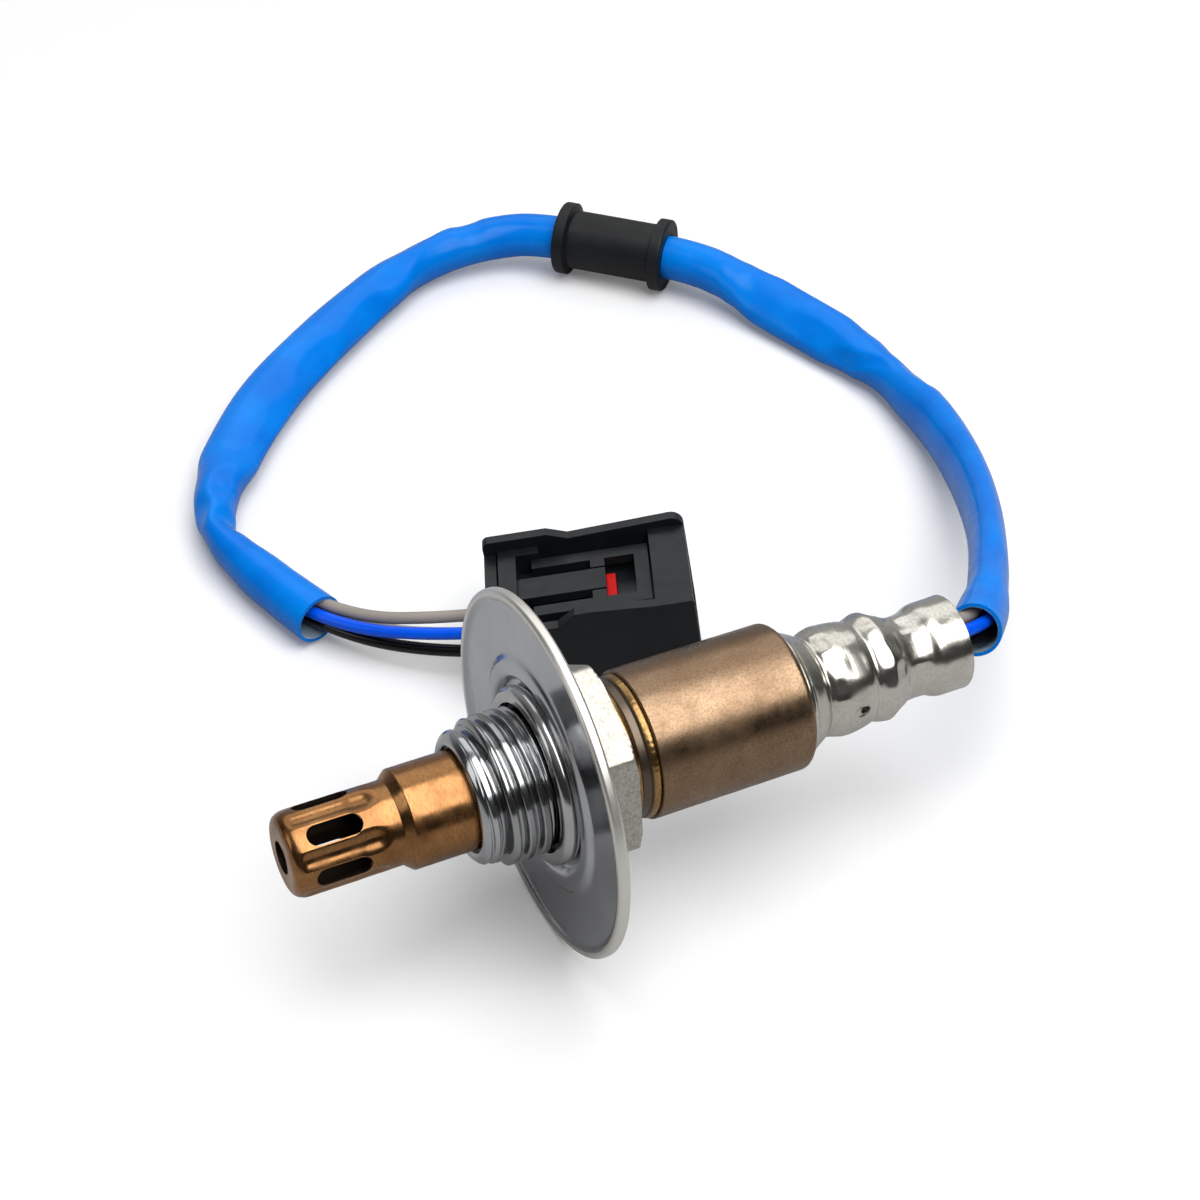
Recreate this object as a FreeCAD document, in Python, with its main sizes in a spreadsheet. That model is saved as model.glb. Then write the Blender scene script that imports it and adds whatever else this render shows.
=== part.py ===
import FreeCAD, Part
import math
import os
import re

import Sketcher

from FreeCAD import Vector

# Oxygen sensor with a screwed-in probe, a heat-shield disc, a crimped rear sleeve
# and a short sleeved lead that ends in a four-way connector.
#
# Millimetres. The sensor's axis is X, from the tip (-X) to the wires (+X). The origin
# is on that axis at the front of the crush gasket, where the exhaust boss seats.
# +Z is up: the part lies on its disc's rim and its lead, with its axis level.

doc = FreeCAD.newDocument("OxygenSensor")
sheet = doc.addObject("Spreadsheet::Sheet", "Sizes")

# Driving dimensions: alias, value in millimetres (or degrees, or a count), meaning
SIZES = [
    ("fit_gap", 0.05, "radial clearance of a piece pushed into another"),
    ("loose_gap", 0.15, "radial clearance of a piece that slips over another"),
    ("thread_radius", 9.0, "crest radius of the 18 mm thread"),
    ("thread_length", 5.8, "threaded shank ahead of the gasket"),
    ("undercut_radius", 8.4, "relief behind the thread"),
    ("gasket_thickness", 2.2, "crush gasket before tightening"),
    ("gasket_radius", 11.1, "outside of the gasket"),
    ("gasket_slit", 0.4, "gap between the gasket's folds"),
    ("gasket_sheet", 0.8, "gasket between its slit and its outside"),
    ("shield_sheet", 0.8, "sheet of the heat-shield disc"),
    ("shield_radius", 22.6, "rim of the disc"),
    ("shield_rim", 1.2, "radial width and height of the rolled rim"),
    ("shield_emboss_in", 11.7, "inner radius of the raised ring"),
    ("shield_emboss_out", 14.4, "outer radius of the raised ring"),
    ("shield_emboss_rise", 1.1, "raised ring above the seat flange"),
    ("shield_flat_rise", 0.5, "flat of the disc above the seat flange"),
    ("press_slope", 0.4, "slopes of the pressed ring and bevels of the rim"),
    ("rim_drop", 0.5, "rolled rim ahead of the flat"),
    ("hex_flats", 22.0, "spanner size"),
    ("hex_height", 6.5, "height of the hexagon"),
    ("hex_turn", 22.4, "roll of the hexagon about the axis, degrees"),
    ("nose_length", 2.9, "rolled nose ahead of the thread"),
    ("nose_radius", 8.2, "outside of the rolled nose"),
    ("nose_rounding", 1.2, "rounding of the rolled nose"),
    ("thread_bevel", 0.4, "bevel ahead of the thread"),
    ("undercut_start", 0.3, "end of the thread behind the seat"),
    ("core_inset", 0.3, "turned core inside the hexagon's flats"),
    ("hex_chamfer", 0.7, "turned chamfer of the hexagon's corners"),
    ("hex_face", 0.6, "round rear face beyond the flats"),
    ("nose_lip", 0.8, "thickness of the lip rolled over the covers"),
    ("nose_bore", 7.0, "counterbore for the covers' flanges"),
    ("front_bore", 4.6, "housing bore around the lower holder"),
    ("rear_bore", 6.6, "housing bore around the seal"),
    ("bore_step", 1.0, "distance of the bore's step behind the seat plane"),
    ("neck_length", 9.0, "housing behind the hexagon"),
    ("neck_radius", 7.9, "outside of that neck"),
    ("neck_lip", 1.0, "lip closed over the packing ring"),
    ("lip_bore", 5.0, "opening inside that lip"),
    ("cover_sheet", 0.45, "sheet of the protection covers"),
    ("cover_radius", 5.1, "outer cover around its slots"),
    ("cover_dome", 1.7, "rounding of the outer cover's tip"),
    ("cover_reach", 21.7, "tip of the outer cover ahead of the nose"),
    ("cover_hole", 3.9, "hole in the tip"),
    ("collar_radius", 6.07, "wide part of the outer cover"),
    ("collar_reach", 7.3, "front of the wide part ahead of the nose"),
    ("cone_length", 1.1, "step between the two diameters"),
    ("slot_width", 2.5, "slots of the outer cover"),
    ("slot_length", 6.7, "slots of the outer cover"),
    ("slot_start", 2.4, "front of a slot behind the tip"),
    ("slot_count", 6, "slots around the outer cover"),
    ("slot_turn", 61.0, "angle of the first slot, degrees"),
    ("flute_depth", 0.22, "pressed flutes between the slots"),
    ("flute_radius", 12.0, "hollow of a flute, across"),
    ("flute_end", 3.5, "hollow of a flute, along, at its ends"),
    ("flute_start", 0.9, "front of a flute behind the tip"),
    ("flute_length", 10.6, "length of a flute"),
    ("inner_radius", 3.5, "inner protection cover"),
    ("inner_reach", 11.2, "tip of the inner cover ahead of the nose"),
    ("inner_hole", 1.3, "gas holes of the inner cover"),
    ("inner_hole_count", 6, "gas holes around the inner cover"),
    ("inner_hole_back", 4.6, "gas holes behind the inner cover's tip"),
    ("element_width", 4.0, "ceramic strip"),
    ("element_thickness", 1.3, "ceramic strip"),
    ("element_front", 10.0, "strip ahead of the nose's front"),
    ("element_rear", 18.0, "strip behind the hexagon's rear"),
    ("holder_front", 5.6, "lower ceramic ahead of the bore's step"),
    ("holder_rear", 3.2, "lower ceramic behind the bore's step"),
    ("powder_length", 5.0, "pressed talc seal"),
    ("packing_length", 1.0, "metal packing ring"),
    ("weld_radius", 8.9, "rings of the weld collar"),
    ("weld_ring", 1.5, "width of each ring"),
    ("weld_groove", 0.8, "groove between the rings"),
    ("weld_bevel", 0.3, "bevel of the front ring"),
    ("weld_groove_radius", 8.45, "bottom of that groove"),
    ("body_radius", 9.25, "cylindrical body cover"),
    ("body_sheet", 0.55, "sheet of the body cover"),
    ("body_length", 20.6, "length of the body cover"),
    ("body_edge", 0.25, "rounding of its front edge"),
    ("body_round", 0.8, "rounding of its rear edge"),
    ("body_overlap", 3.2, "body cover's seat on the weld collar"),
    ("sleeve_sheet", 0.5, "sheet of the rear sleeve"),
    ("sleeve_front", 8.2, "front of the rear sleeve, inside the body cover"),
    ("sleeve_inset", 6.0, "rear sleeve inside the body cover"),
    ("shoulder_start", 0.6, "straight stretch that leaves the body"),
    ("shoulder_drop", 0.5, "shoulder above the waist at its end"),
    ("shoulder_length", 3.4, "shoulder that shows behind the body"),
    ("waist_radius", 6.2, "waist ahead of the first bulge"),
    ("waist_end", 4.3, "waist behind the body's rear"),
    ("bulge_one_end", 11.1, "groove behind the first bulge"),
    ("bulge_one_radius", 8.4, "section radius of the first bulge"),
    ("groove_radius", 6.25, "groove between the bulges"),
    ("bulge_two_end", 16.3, "end of the second bulge"),
    ("bulge_two_radius", 4.2, "section radius of the second bulge"),
    ("crimp_radius", 5.2, "crimped stretch over the wire grommet"),
    ("crimp_run_in", 0.3, "second bulge above the crimped stretch at its end"),
    ("crimp_end", 19.8, "end of the crimped stretch"),
    ("flare_start", 21.0, "start of the flare"),
    ("flare_radius", 6.05, "flare at the rear"),
    ("sleeve_end", 23.7, "rear end of the sleeve behind the body's rear"),
    ("crimp_flats", 10.0, "across the flats of the crimp"),
    ("crimp_sides", 8, "flats around the crimp"),
    ("crimp_edge", 0.5, "round stretch ahead of the crimp's flats"),
    ("vent_radius", 0.6, "vent in the first bulge"),
    ("filter_start", 1.4, "vent filter behind the waist"),
    ("filter_length", 4.0, "vent filter"),
    ("filter_wall", 0.6, "vent filter"),
    ("grommet_inset", 0.2, "wire grommet inside the sleeve's end"),
    ("grommet_bevel", 0.4, "bevels of the two grommets"),
    ("insulator_radius", 6.0, "terminal insulator"),
    ("insulator_length", 14.6, "terminal insulator"),
    ("insulator_start", 0.6, "insulator behind the housing's neck"),
    ("contact_room", 0.6, "chamber beside the contacts"),
    ("clip_start", 3.0, "clip behind the insulator's front"),
    ("clip_sheet", 0.6, "spring clip"),
    ("clip_length", 2.2, "spring clip that centres the insulator"),
    ("contact_width", 1.1, "contact springs"),
    ("contact_sheet", 0.4, "contact springs"),
    ("contact_spread", 1.3, "contacts and wires from the axis, both ways"),
    ("contact_barrel", 3.0, "crimp barrel of a contact"),
    ("wire_radius", 0.85, "insulated wire"),
    ("wire_spread", 0.95, "wires from the bundle's centre, both ways"),
    ("tube_radius", 3.5, "protective sleeve of the lead"),
    ("tube_wall", 0.5, "wall of that sleeve"),
    ("grommet_length", 18.3, "rubber grommet on the lead"),
    ("grommet_waist", 4.75, "waist of the grommet"),
    ("grommet_flange", 5.85, "flanges of the grommet"),
    ("grommet_flange_width", 1.9, "flanges of the grommet"),
    ("plug_length", 27.3, "connector along its wires"),
    ("plug_width", 17.8, "connector"),
    ("plug_height", 15.5, "connector, at its rear guard wall"),
    ("plug_wall", 1.5, "hood and guard walls"),
    ("plug_round", 1.8, "rounding of the guard wall's corner at the mouth"),
    ("plug_bevel", 0.8, "bevels of the connector's base"),
    ("plug_deck", 10.6, "height of the deck below the latch"),
    ("guard_dip", 1.1, "dip of the rear guard wall"),
    ("guard_dip_start", 8.8, "wire end to the dip"),
    ("guard_dip_end", 11.6, "wire end to the bottom of the dip"),
    ("guard_mouth", 15.1, "height of the rear guard wall at the mouth"),
    ("front_wall_low", 12.7, "height of the front wall beside the wires"),
    ("front_wall_high", 14.6, "height of the front wall beside the latch"),
    ("front_wall_ramp", 9.3, "wire end to the ramp of the front wall"),
    ("front_wall_ramp_end", 12.0, "wire end to the top of that ramp"),
    ("hood_depth", 14.0, "depth of the mating hood"),
    ("block_width", 11.0, "terminal block inside the hood"),
    ("block_height", 8.0, "terminal block inside the hood"),
    ("block_inset", 1.6, "terminal block behind the hood's mouth"),
    ("bridge_length", 4.95, "bridge over the latch at the mouth"),
    ("bridge_top", 13.85, "height of the bridge"),
    ("bridge_thickness", 1.4, "bridge over the latch at the mouth"),
    ("end_wall", 1.6, "wall at the wire end of the latch bay"),
    ("end_wall_top", 13.4, "height of that wall"),
    ("rest_start", 1.9, "wire end to the cross wall that carries the tongue"),
    ("rest_width", 2.4, "that cross wall"),
    ("rest_hook", 7.4, "wire end to the end of its hook along the guard wall"),
    ("rest_hook_width", 1.5, "that hook"),
    ("latch_width", 11.8, "latch frame"),
    ("latch_length", 7.8, "latch frame"),
    ("latch_gap", 0.35, "latch frame to the bridge"),
    ("latch_thickness", 1.3, "latch frame and arms"),
    ("latch_top", 12.8, "height of the latch above the floor of the connector"),
    ("latch_bar", 1.9, "bars of the latch frame"),
    ("arm_start", 6.3, "wire end to the latch's arms"),
    ("arm_root", 1.6, "foot of a latch arm"),
    ("tongue_width", 4.2, "centre tongue"),
    ("tongue_slit", 0.35, "slits beside the tongue's end"),
    ("cavity_pitch_across", 4.0, "wire cavities across"),
    ("cavity_pitch_up", 3.4, "wire cavities up"),
    ("cavity_radius", 1.5, "wire cavities"),
    ("cavity_floor", 4.4, "lower cavities above the connector's base"),
    ("cavity_depth", 6.5, "round part of the wire cavities"),
    ("seal_length", 4.0, "wire seals"),
    ("seal_inset", 0.6, "wire seals behind the wire end's face"),
    ("retainer_thickness", 1.2, "front retainer"),
    ("catch_width", 5.0, "catch of the retainer in the latch's window"),
    ("catch_length", 1.2, "that catch"),
    ("catch_top", 11.2, "height of that catch"),
    ("tab_thickness", 0.4, "tab that joins the retainer and its catch"),
    ("tab_cover", 0.45, "roof of the block over that tab"),
    ("ring_seal_length", 2.6, "perimeter seal"),
    ("ring_seal_lip", 0.9, "perimeter seal around the block"),
    ("ring_seal_top", 0.4, "perimeter seal above the block"),
    ("terminal_width", 1.6, "receptacle terminals"),
    ("terminal_gap", 0.1, "receptacle terminals in their cavities"),
    ("terminal_sheet", 0.35, "receptacle terminals"),
    ("terminal_start", 8.5, "wire end to the terminals' boxes"),
    ("plug_yaw", -22.3, "connector about the vertical, degrees"),
    ("plug_pitch", 8.4, "connector's mouth tilted up, degrees"),
    ("plug_x", 15.7, "wire end of the connector's base"),
    ("plug_y", 43.8, "wire end of the connector's base"),
    ("wire_lead", 3.5, "wires straight ahead of their cavities"),
]

for row, (alias, value, meaning) in enumerate(SIZES, start=1):
    sheet.set(f"A{row}", meaning)
    sheet.set(f"B{row}", str(value))
    sheet.setAlias(f"B{row}", alias)
doc.recompute()

NAMES = {alias for alias, value, meaning in SIZES}

# Stations along the axis and other sizes that follow from the driving ones
FOLLOWING = [
    ("seat_face", "gasket_thickness + shield_sheet"),
    ("hex_rear", "seat_face + hex_height"),
    ("hex_corner", "hex_flats / sqrt(3)"),
    ("thread_front", "-thread_length"),
    ("nose_front", "thread_front - nose_length"),
    ("nose_floor", "nose_front + nose_lip + 2 * cover_sheet"),
    ("neck_rear", "hex_rear + neck_length"),
    ("cover_tip", "nose_front - cover_reach"),
    ("collar_front", "nose_front - collar_reach"),
    ("inner_tip", "nose_front - inner_reach"),
    ("weld_rear", "hex_rear + 2 * weld_ring + weld_groove"),
    ("body_front", "weld_rear"),
    ("body_rear", "body_front + body_length"),
    ("body_bore", "body_radius - body_sheet"),
    ("rear_end", "body_rear + sleeve_end"),
    ("element_tip", "nose_front - element_front"),
    ("element_end", "hex_rear + element_rear"),
    ("powder_front", "bore_step + holder_rear"),
    ("powder_rear", "powder_front + powder_length"),
    ("packing_rear", "neck_rear - neck_lip"),
    ("packing_front", "packing_rear - packing_length"),
    ("insulator_front", "neck_rear + insulator_start"),
    ("insulator_rear", "insulator_front + insulator_length"),
    ("contact_rear", "insulator_rear - 1"),
    ("ground", "-shield_radius"),
    ("block_low", "cavity_floor + (cavity_pitch_up - block_height) / 2"),
    ("block_top", "block_low + block_height"),
    ("block_front", "plug_length - block_inset"),
    ("hood_start", "plug_length - hood_depth"),
    ("bridge_start", "plug_length - bridge_length"),
    ("frame_end", "bridge_start - latch_gap"),
    ("frame_start", "frame_end - latch_length"),
    ("tab_top", "block_top - tab_cover"),
    ("rest_end", "rest_start + rest_width"),
    ("window_start", "frame_start + latch_bar"),
]
for row, (alias, formula) in enumerate(FOLLOWING, start=len(SIZES) + 1):
    sheet.set(f"A{row}", formula)
    sheet.set(f"B{row}", "=" + formula)
    sheet.setAlias(f"B{row}", alias)
    NAMES.add(alias)
doc.recompute()


def bound(formula):
    """The formula with each size written as a reference to its cell."""
    return re.sub(r"[a-z_]+", lambda word: "Sizes." + word[0] if word[0] in NAMES else word[0], str(formula))


def size(formula):
    """The number that a formula in the sheet's sizes gives now."""
    return float(sheet.evalExpression(bound(formula)))


PARTS = []
VOLUMES = {}


def new_body(label):
    body = doc.addObject("PartDesign::Body", label)
    body.Label = label
    PARTS.append(body)
    return body


def plane_sketch(body, name, role, offset="0"):
    """A sketch on one of the body's origin planes, moved along the plane's normal."""
    sketch = body.newObject("Sketcher::SketchObject", name)
    plane = [item for item in body.Origin.OriginFeatures if item.Role == role][0]
    sketch.AttachmentSupport = [(plane, "")]
    sketch.MapMode = "FlatFace"
    sketch.setExpression(".AttachmentOffset.Base.z", bound(offset))
    return sketch


def pin_point(sketch, geometry, end, across, up):
    """Ties a point of the sketch to two formulas of the sheet."""
    for kind, formula in (("DistanceX", across), ("DistanceY", up)):
        index = sketch.addConstraint(Sketcher.Constraint(kind, -1, 1, geometry, end, size(formula)))
        sketch.setExpression(f"Constraints[{index}]", bound(formula))


def draw_outline(sketch, outline):
    """Closed outline of straight edges and arcs.

    Each corner is (across, up). A third value is the radius of the arc that leads from
    that corner to the next: positive bulges to the left of the way there."""
    corners = [Vector(size(item[0]), size(item[1]), 0) for item in outline]
    ends = []
    for number, item in enumerate(outline):
        here = corners[number]
        there = corners[(number + 1) % len(corners)]
        if len(item) == 2:
            edge = sketch.addGeometry(Part.LineSegment(here, there), False)
            ends.append((edge, 1, 2))
            continue
        radius = size(item[2])
        chord = there - here
        sideways = Vector(-chord.y, chord.x, 0).normalize()
        rise = abs(radius) - math.sqrt(radius * radius - chord.Length ** 2 / 4)
        crown = (here + there) * 0.5 + sideways * math.copysign(rise, radius)
        edge = sketch.addGeometry(Part.Arc(here, crown, there), False)
        ends.append((edge, 1, 2) if radius < 0 else (edge, 2, 1))
        index = sketch.addConstraint(Sketcher.Constraint("Radius", edge, abs(radius)))
        sketch.setExpression(f"Constraints[{index}]", bound(f"abs({item[2]})"))
    for number, item in enumerate(outline):
        edge, start, finish = ends[number]
        before, before_start, before_finish = ends[number - 1]
        sketch.addConstraint(Sketcher.Constraint("Coincident", before, before_finish, edge, start))
        pin_point(sketch, edge, start, item[0], item[1])


def draw_circle(sketch, across, up, radius):
    middle = Vector(size(across), size(up), 0)
    circle = sketch.addGeometry(Part.Circle(middle, Vector(0, 0, 1), size(radius)), False)
    index = sketch.addConstraint(Sketcher.Constraint("Radius", circle, size(radius)))
    sketch.setExpression(f"Constraints[{index}]", bound(radius))
    pin_point(sketch, circle, 3, across, up)


def checked(body, feature, adds):
    """Recomputes and makes sure that the feature added or removed material."""
    doc.recompute()
    volume = feature.Shape.Volume
    earlier = VOLUMES.get(body.Name, 0.0)
    if adds != (volume > earlier):
        raise RuntimeError(f"{feature.Name} in {body.Label} changed the volume the wrong way")
    VOLUMES[body.Name] = volume
    return feature


def turn(body, name, outline, cut=False):
    """Turns an outline about the axis; outline corners are (along the axis, radius)."""
    sketch = plane_sketch(body, name + "_outline", "XY_Plane")
    draw_outline(sketch, outline)
    feature = body.newObject("PartDesign::Groove" if cut else "PartDesign::Revolution", name)
    feature.Profile = sketch
    feature.ReferenceAxis = (sketch, ["H_Axis"])
    feature.Angle = 360
    return checked(body, feature, not cut)


def extrude(body, name, role, start, length, outlines, cut=False):
    """Pads or cuts outlines and circles from one station along the plane's normal."""
    sketch = plane_sketch(body, name + "_outline", role, start)
    for outline in outlines:
        if outline[0] == "circle":
            draw_circle(sketch, *outline[1:])
        else:
            draw_outline(sketch, outline)
    feature = body.newObject("PartDesign::Pocket" if cut else "PartDesign::Pad", name)
    feature.Profile = sketch
    feature.Reversed = cut
    feature.setExpression("Length", bound(length))
    return checked(body, feature, not cut)


def repeat_round(body, feature, count):
    """Repeats a feature about the sensor's axis."""
    pattern = body.newObject("PartDesign::PolarPattern", feature.Name + "_pattern")
    pattern.Originals = [feature]
    axis = [item for item in body.Origin.OriginFeatures if item.Role == "X_Axis"][0]
    pattern.Axis = (axis, [""])
    pattern.Angle = 360
    pattern.setExpression("Occurrences", bound(count))
    body.Tip = pattern
    doc.recompute()
    VOLUMES[body.Name] = pattern.Shape.Volume
    return pattern


def rectangle(left, right, low, high):
    return [(left, low), (right, low), (right, high), (left, high)]


# Protection covers: thin drawn cups whose flanges are trapped in the housing's nose

def outer_protection_cover():
    body = new_body("outer_protection_cover")
    flange_front = "nose_front + nose_lip"
    wall = "cover_sheet"
    turn(body, "cup", [
        ("cover_tip", "cover_hole / 2"),
        ("cover_tip", "cover_radius - cover_dome", "cover_dome"),
        ("cover_tip + cover_dome", "cover_radius"),
        ("collar_front - cone_length", "cover_radius"),
        ("collar_front", "collar_radius"),
        (flange_front, "collar_radius"),
        (flange_front, "nose_bore - fit_gap"),
        (f"{flange_front} + {wall}", "nose_bore - fit_gap"),
        (f"{flange_front} + {wall}", f"collar_radius - {wall}"),
        (f"collar_front + {wall}", f"collar_radius - {wall}"),
        (f"collar_front + {wall} - cone_length", f"cover_radius - {wall}"),
        ("cover_tip + cover_dome", f"cover_radius - {wall}", f"-(cover_dome - {wall})"),
        (f"cover_tip + {wall}", "cover_radius - cover_dome"),
        (f"cover_tip + {wall}", "cover_hole / 2"),
    ])
    slot_in = "cover_tip + slot_start + slot_width / 2"
    slot_out = "cover_tip + slot_start + slot_length - slot_width / 2"
    slot = extrude(body, "slot", "XY_Plane", "cover_radius / 2", "cover_radius", [[
        (slot_in, "-slot_width / 2"),
        (slot_out, "-slot_width / 2", "-slot_width / 2 * 1.0001"),
        (slot_out, "slot_width / 2"),
        (slot_in, "slot_width / 2", "-slot_width / 2 * 1.0001"),
    ]], cut=True)
    repeat_round(body, slot, "slot_count")
    flute(body)
    body.Placement.Rotation = FreeCAD.Rotation(Vector(1, 0, 0), size("slot_turn - 90"))


def flute(body):
    """Shallow pressed flutes between the slots, each hollowed by a barrel-shaped tool."""
    sketch = plane_sketch(body, "flute_outline", "XY_Plane")
    front = "cover_tip + flute_start"
    rear = f"{front} + flute_length"
    run_in = "sqrt(2 * flute_end * flute_depth - flute_depth * flute_depth)"
    bottom = "cover_radius - flute_depth"
    clear = "cover_radius + flute_depth"
    draw_outline(sketch, [
        (front, clear),
        (front, "cover_radius", "-flute_end"),
        (f"{front} + {run_in}", bottom),
        (f"{rear} - {run_in}", bottom, "-flute_end"),
        (rear, "cover_radius"),
        (rear, clear),
    ])
    middle = f"{bottom} + flute_radius"
    axis = sketch.addGeometry(Part.LineSegment(Vector(0, size(middle), 0), Vector(1, size(middle), 0)), True)
    pin_point(sketch, axis, 1, "0", middle)
    pin_point(sketch, axis, 2, "thread_radius", middle)
    groove = body.newObject("PartDesign::Groove", "flute")
    groove.Profile = sketch
    groove.ReferenceAxis = (sketch, ["Axis0"])
    groove.Angle = 360
    checked(body, groove, False)
    repeat_round(body, groove, "slot_count")


def inner_protection_cover():
    body = new_body("inner_protection_cover")
    flange_front = "nose_front + nose_lip + cover_sheet"
    turn(body, "cup", [
        ("inner_tip", "inner_hole / 2"),
        ("inner_tip", "inner_radius - 1", "1.0001"),
        ("inner_tip + 1", "inner_radius"),
        (flange_front, "inner_radius"),
        (flange_front, "nose_bore - fit_gap"),
        (f"{flange_front} + cover_sheet", "nose_bore - fit_gap"),
        (f"{flange_front} + cover_sheet", "inner_radius - cover_sheet"),
        ("inner_tip + cover_sheet", "inner_radius - cover_sheet"),
        ("inner_tip + cover_sheet", "inner_hole / 2"),
    ])
    hole = extrude(body, "gas_hole", "XY_Plane", "inner_radius / 2", "inner_radius",
                   [("circle", "inner_tip + inner_hole_back", "0", "inner_hole / 2")], cut=True)
    repeat_round(body, hole, "inner_hole_count")


# Housing: one turned and milled piece with the thread's shank, hexagon and neck

def threaded_housing():
    body = new_body("threaded_housing")
    turn(body, "turned", [
        ("nose_front", "collar_radius + loose_gap"),
        ("nose_front", "nose_radius - nose_rounding", "nose_rounding * 1.001"),
        ("nose_front + nose_rounding", "nose_radius"),
        ("thread_front - thread_bevel", "nose_radius"),
        ("thread_front", "thread_radius"),
        ("0", "thread_radius"),
        ("undercut_start", "undercut_radius"),
        ("seat_face", "undercut_radius"),
        ("seat_face", "hex_flats / 2 - core_inset"),
        ("hex_rear", "hex_flats / 2 - core_inset"),
        ("hex_rear", "neck_radius"),
        ("neck_rear", "neck_radius"),
        ("neck_rear", "lip_bore"),
        ("packing_rear", "lip_bore"),
        ("packing_rear", "rear_bore"),
        ("bore_step", "rear_bore"),
        ("bore_step", "front_bore"),
        ("nose_floor", "front_bore"),
        ("nose_floor", "nose_bore"),
        ("nose_front + nose_lip", "nose_bore"),
        ("nose_front + nose_lip", "collar_radius + loose_gap"),
    ])
    extrude(body, "hexagon", "YZ_Plane", "seat_face", "hex_height", [
        [(f"hex_corner * cos({60 * number} + hex_turn)", f"hex_corner * sin({60 * number} + hex_turn)")
         for number in range(6)],
        ("circle", "0", "0", "hex_flats / 2 - 2 * core_inset"),
    ])
    turn(body, "corner_chamfer", [
        ("hex_rear - hex_chamfer", "hex_corner + 1"),
        ("hex_rear - hex_chamfer", "hex_corner + 0.01"),
        ("hex_rear", "hex_flats / 2 + hex_face"),
        ("hex_rear + 1", "hex_flats / 2 + hex_face"),
        ("hex_rear + 1", "hex_corner + 1"),
    ], cut=True)


def seat_gasket():
    body = new_body("seat_gasket")
    inner = "thread_radius + loose_gap"
    middle = "gasket_thickness / 2"
    turn(body, "folded_ring", [
        ("0", inner),
        ("0", "gasket_radius - gasket_thickness / 2", "gasket_thickness / 2 * 1.001"),
        (middle, "gasket_radius", "gasket_thickness / 2 * 1.001"),
        ("gasket_thickness", "gasket_radius - gasket_thickness / 2"),
        ("gasket_thickness", inner),
        (f"{middle} + gasket_slit / 2", inner),
        (f"{middle} + gasket_slit / 2", "gasket_radius - gasket_sheet"),
        (f"{middle} - gasket_slit / 2", "gasket_radius - gasket_sheet"),
        (f"{middle} - gasket_slit / 2", inner),
    ])


def heat_shield_disc():
    body = new_body("heat_shield_disc")
    flange = "gasket_thickness"
    flat = "gasket_thickness - shield_flat_rise"
    ring = "gasket_thickness - shield_emboss_rise"
    rim = f"{flat} - rim_drop"
    turn(body, "pressing", [
        (flange, "thread_radius + loose_gap"),
        (flange, "shield_emboss_in"),
        (ring, "shield_emboss_in + press_slope"),
        (ring, "shield_emboss_out - press_slope"),
        (flat, "shield_emboss_out + press_slope / 2"),
        (flat, "shield_radius - shield_rim - press_slope / 4"),
        (rim, "shield_radius - shield_rim + press_slope / 4"),
        (rim, "shield_radius - press_slope / 2"),
        (f"{rim} + press_slope / 2", "shield_radius"),
        (f"{rim} + shield_rim - press_slope / 4", "shield_radius"),
        (f"{rim} + shield_rim", "shield_radius - press_slope / 4"),
        (f"{flat} + shield_sheet", "shield_radius - shield_rim - press_slope / 4"),
        (f"{flat} + shield_sheet", "shield_emboss_out"),
        (f"{ring} + shield_sheet", "shield_emboss_out - press_slope * 1.5"),
        (f"{ring} + shield_sheet", "shield_emboss_in + press_slope * 2"),
        (f"{flange} + shield_sheet", "shield_emboss_in + press_slope * 0.75"),
        (f"{flange} + shield_sheet", "thread_radius + loose_gap"),
    ])


# Inner stack: ceramic strip held by two ceramics and pressed powder

def strip_slot(gap):
    half = f"(element_thickness / 2 + {gap})"
    side = f"(element_width / 2 + {gap})"
    return rectangle(f"-{side}", side, f"-{half}", half)


def sensing_element():
    body = new_body("sensing_element")
    extrude(body, "strip", "YZ_Plane", "element_tip", "element_end - element_tip", [strip_slot("0")])


def lower_holder():
    body = new_body("lower_holder")
    turn(body, "stepped", [
        ("bore_step - holder_front", "0"),
        ("bore_step - holder_front", "front_bore - fit_gap"),
        ("bore_step", "front_bore - fit_gap"),
        ("bore_step", "rear_bore - fit_gap"),
        ("powder_front", "rear_bore - fit_gap"),
        ("powder_front", "0"),
    ])
    extrude(body, "strip_slot", "YZ_Plane", "bore_step - holder_front", "holder_front + holder_rear",
            [strip_slot("fit_gap")], cut=True)


def filler_ring(label, start, finish, outer, inner=None):
    """A plain ring in the housing's bore, with a slot for the strip unless it has a bore."""
    body = new_body(label)
    if inner is None:
        turn(body, "ring", rectangle(start, finish, "0", outer))
        extrude(body, "strip_slot", "YZ_Plane", start, f"{finish} - ({start})",
                [strip_slot("fit_gap")], cut=True)
    else:
        turn(body, "ring", rectangle(start, finish, inner, outer))
    return body


def weld_collar():
    body = new_body("weld_collar")
    turn(body, "rings", [
        ("hex_rear", "neck_radius + fit_gap"),
        ("hex_rear", "weld_radius - weld_bevel"),
        ("hex_rear + weld_bevel", "weld_radius"),
        ("hex_rear + weld_ring", "weld_radius"),
        ("hex_rear + weld_ring", "weld_groove_radius"),
        ("hex_rear + weld_ring + weld_groove", "weld_groove_radius"),
        ("hex_rear + weld_ring + weld_groove", "weld_radius"),
        ("weld_rear", "weld_radius"),
        ("weld_rear", "body_bore - fit_gap"),
        ("weld_rear + body_overlap", "body_bore - fit_gap"),
        ("weld_rear + body_overlap", "neck_radius + fit_gap"),
    ])


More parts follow.
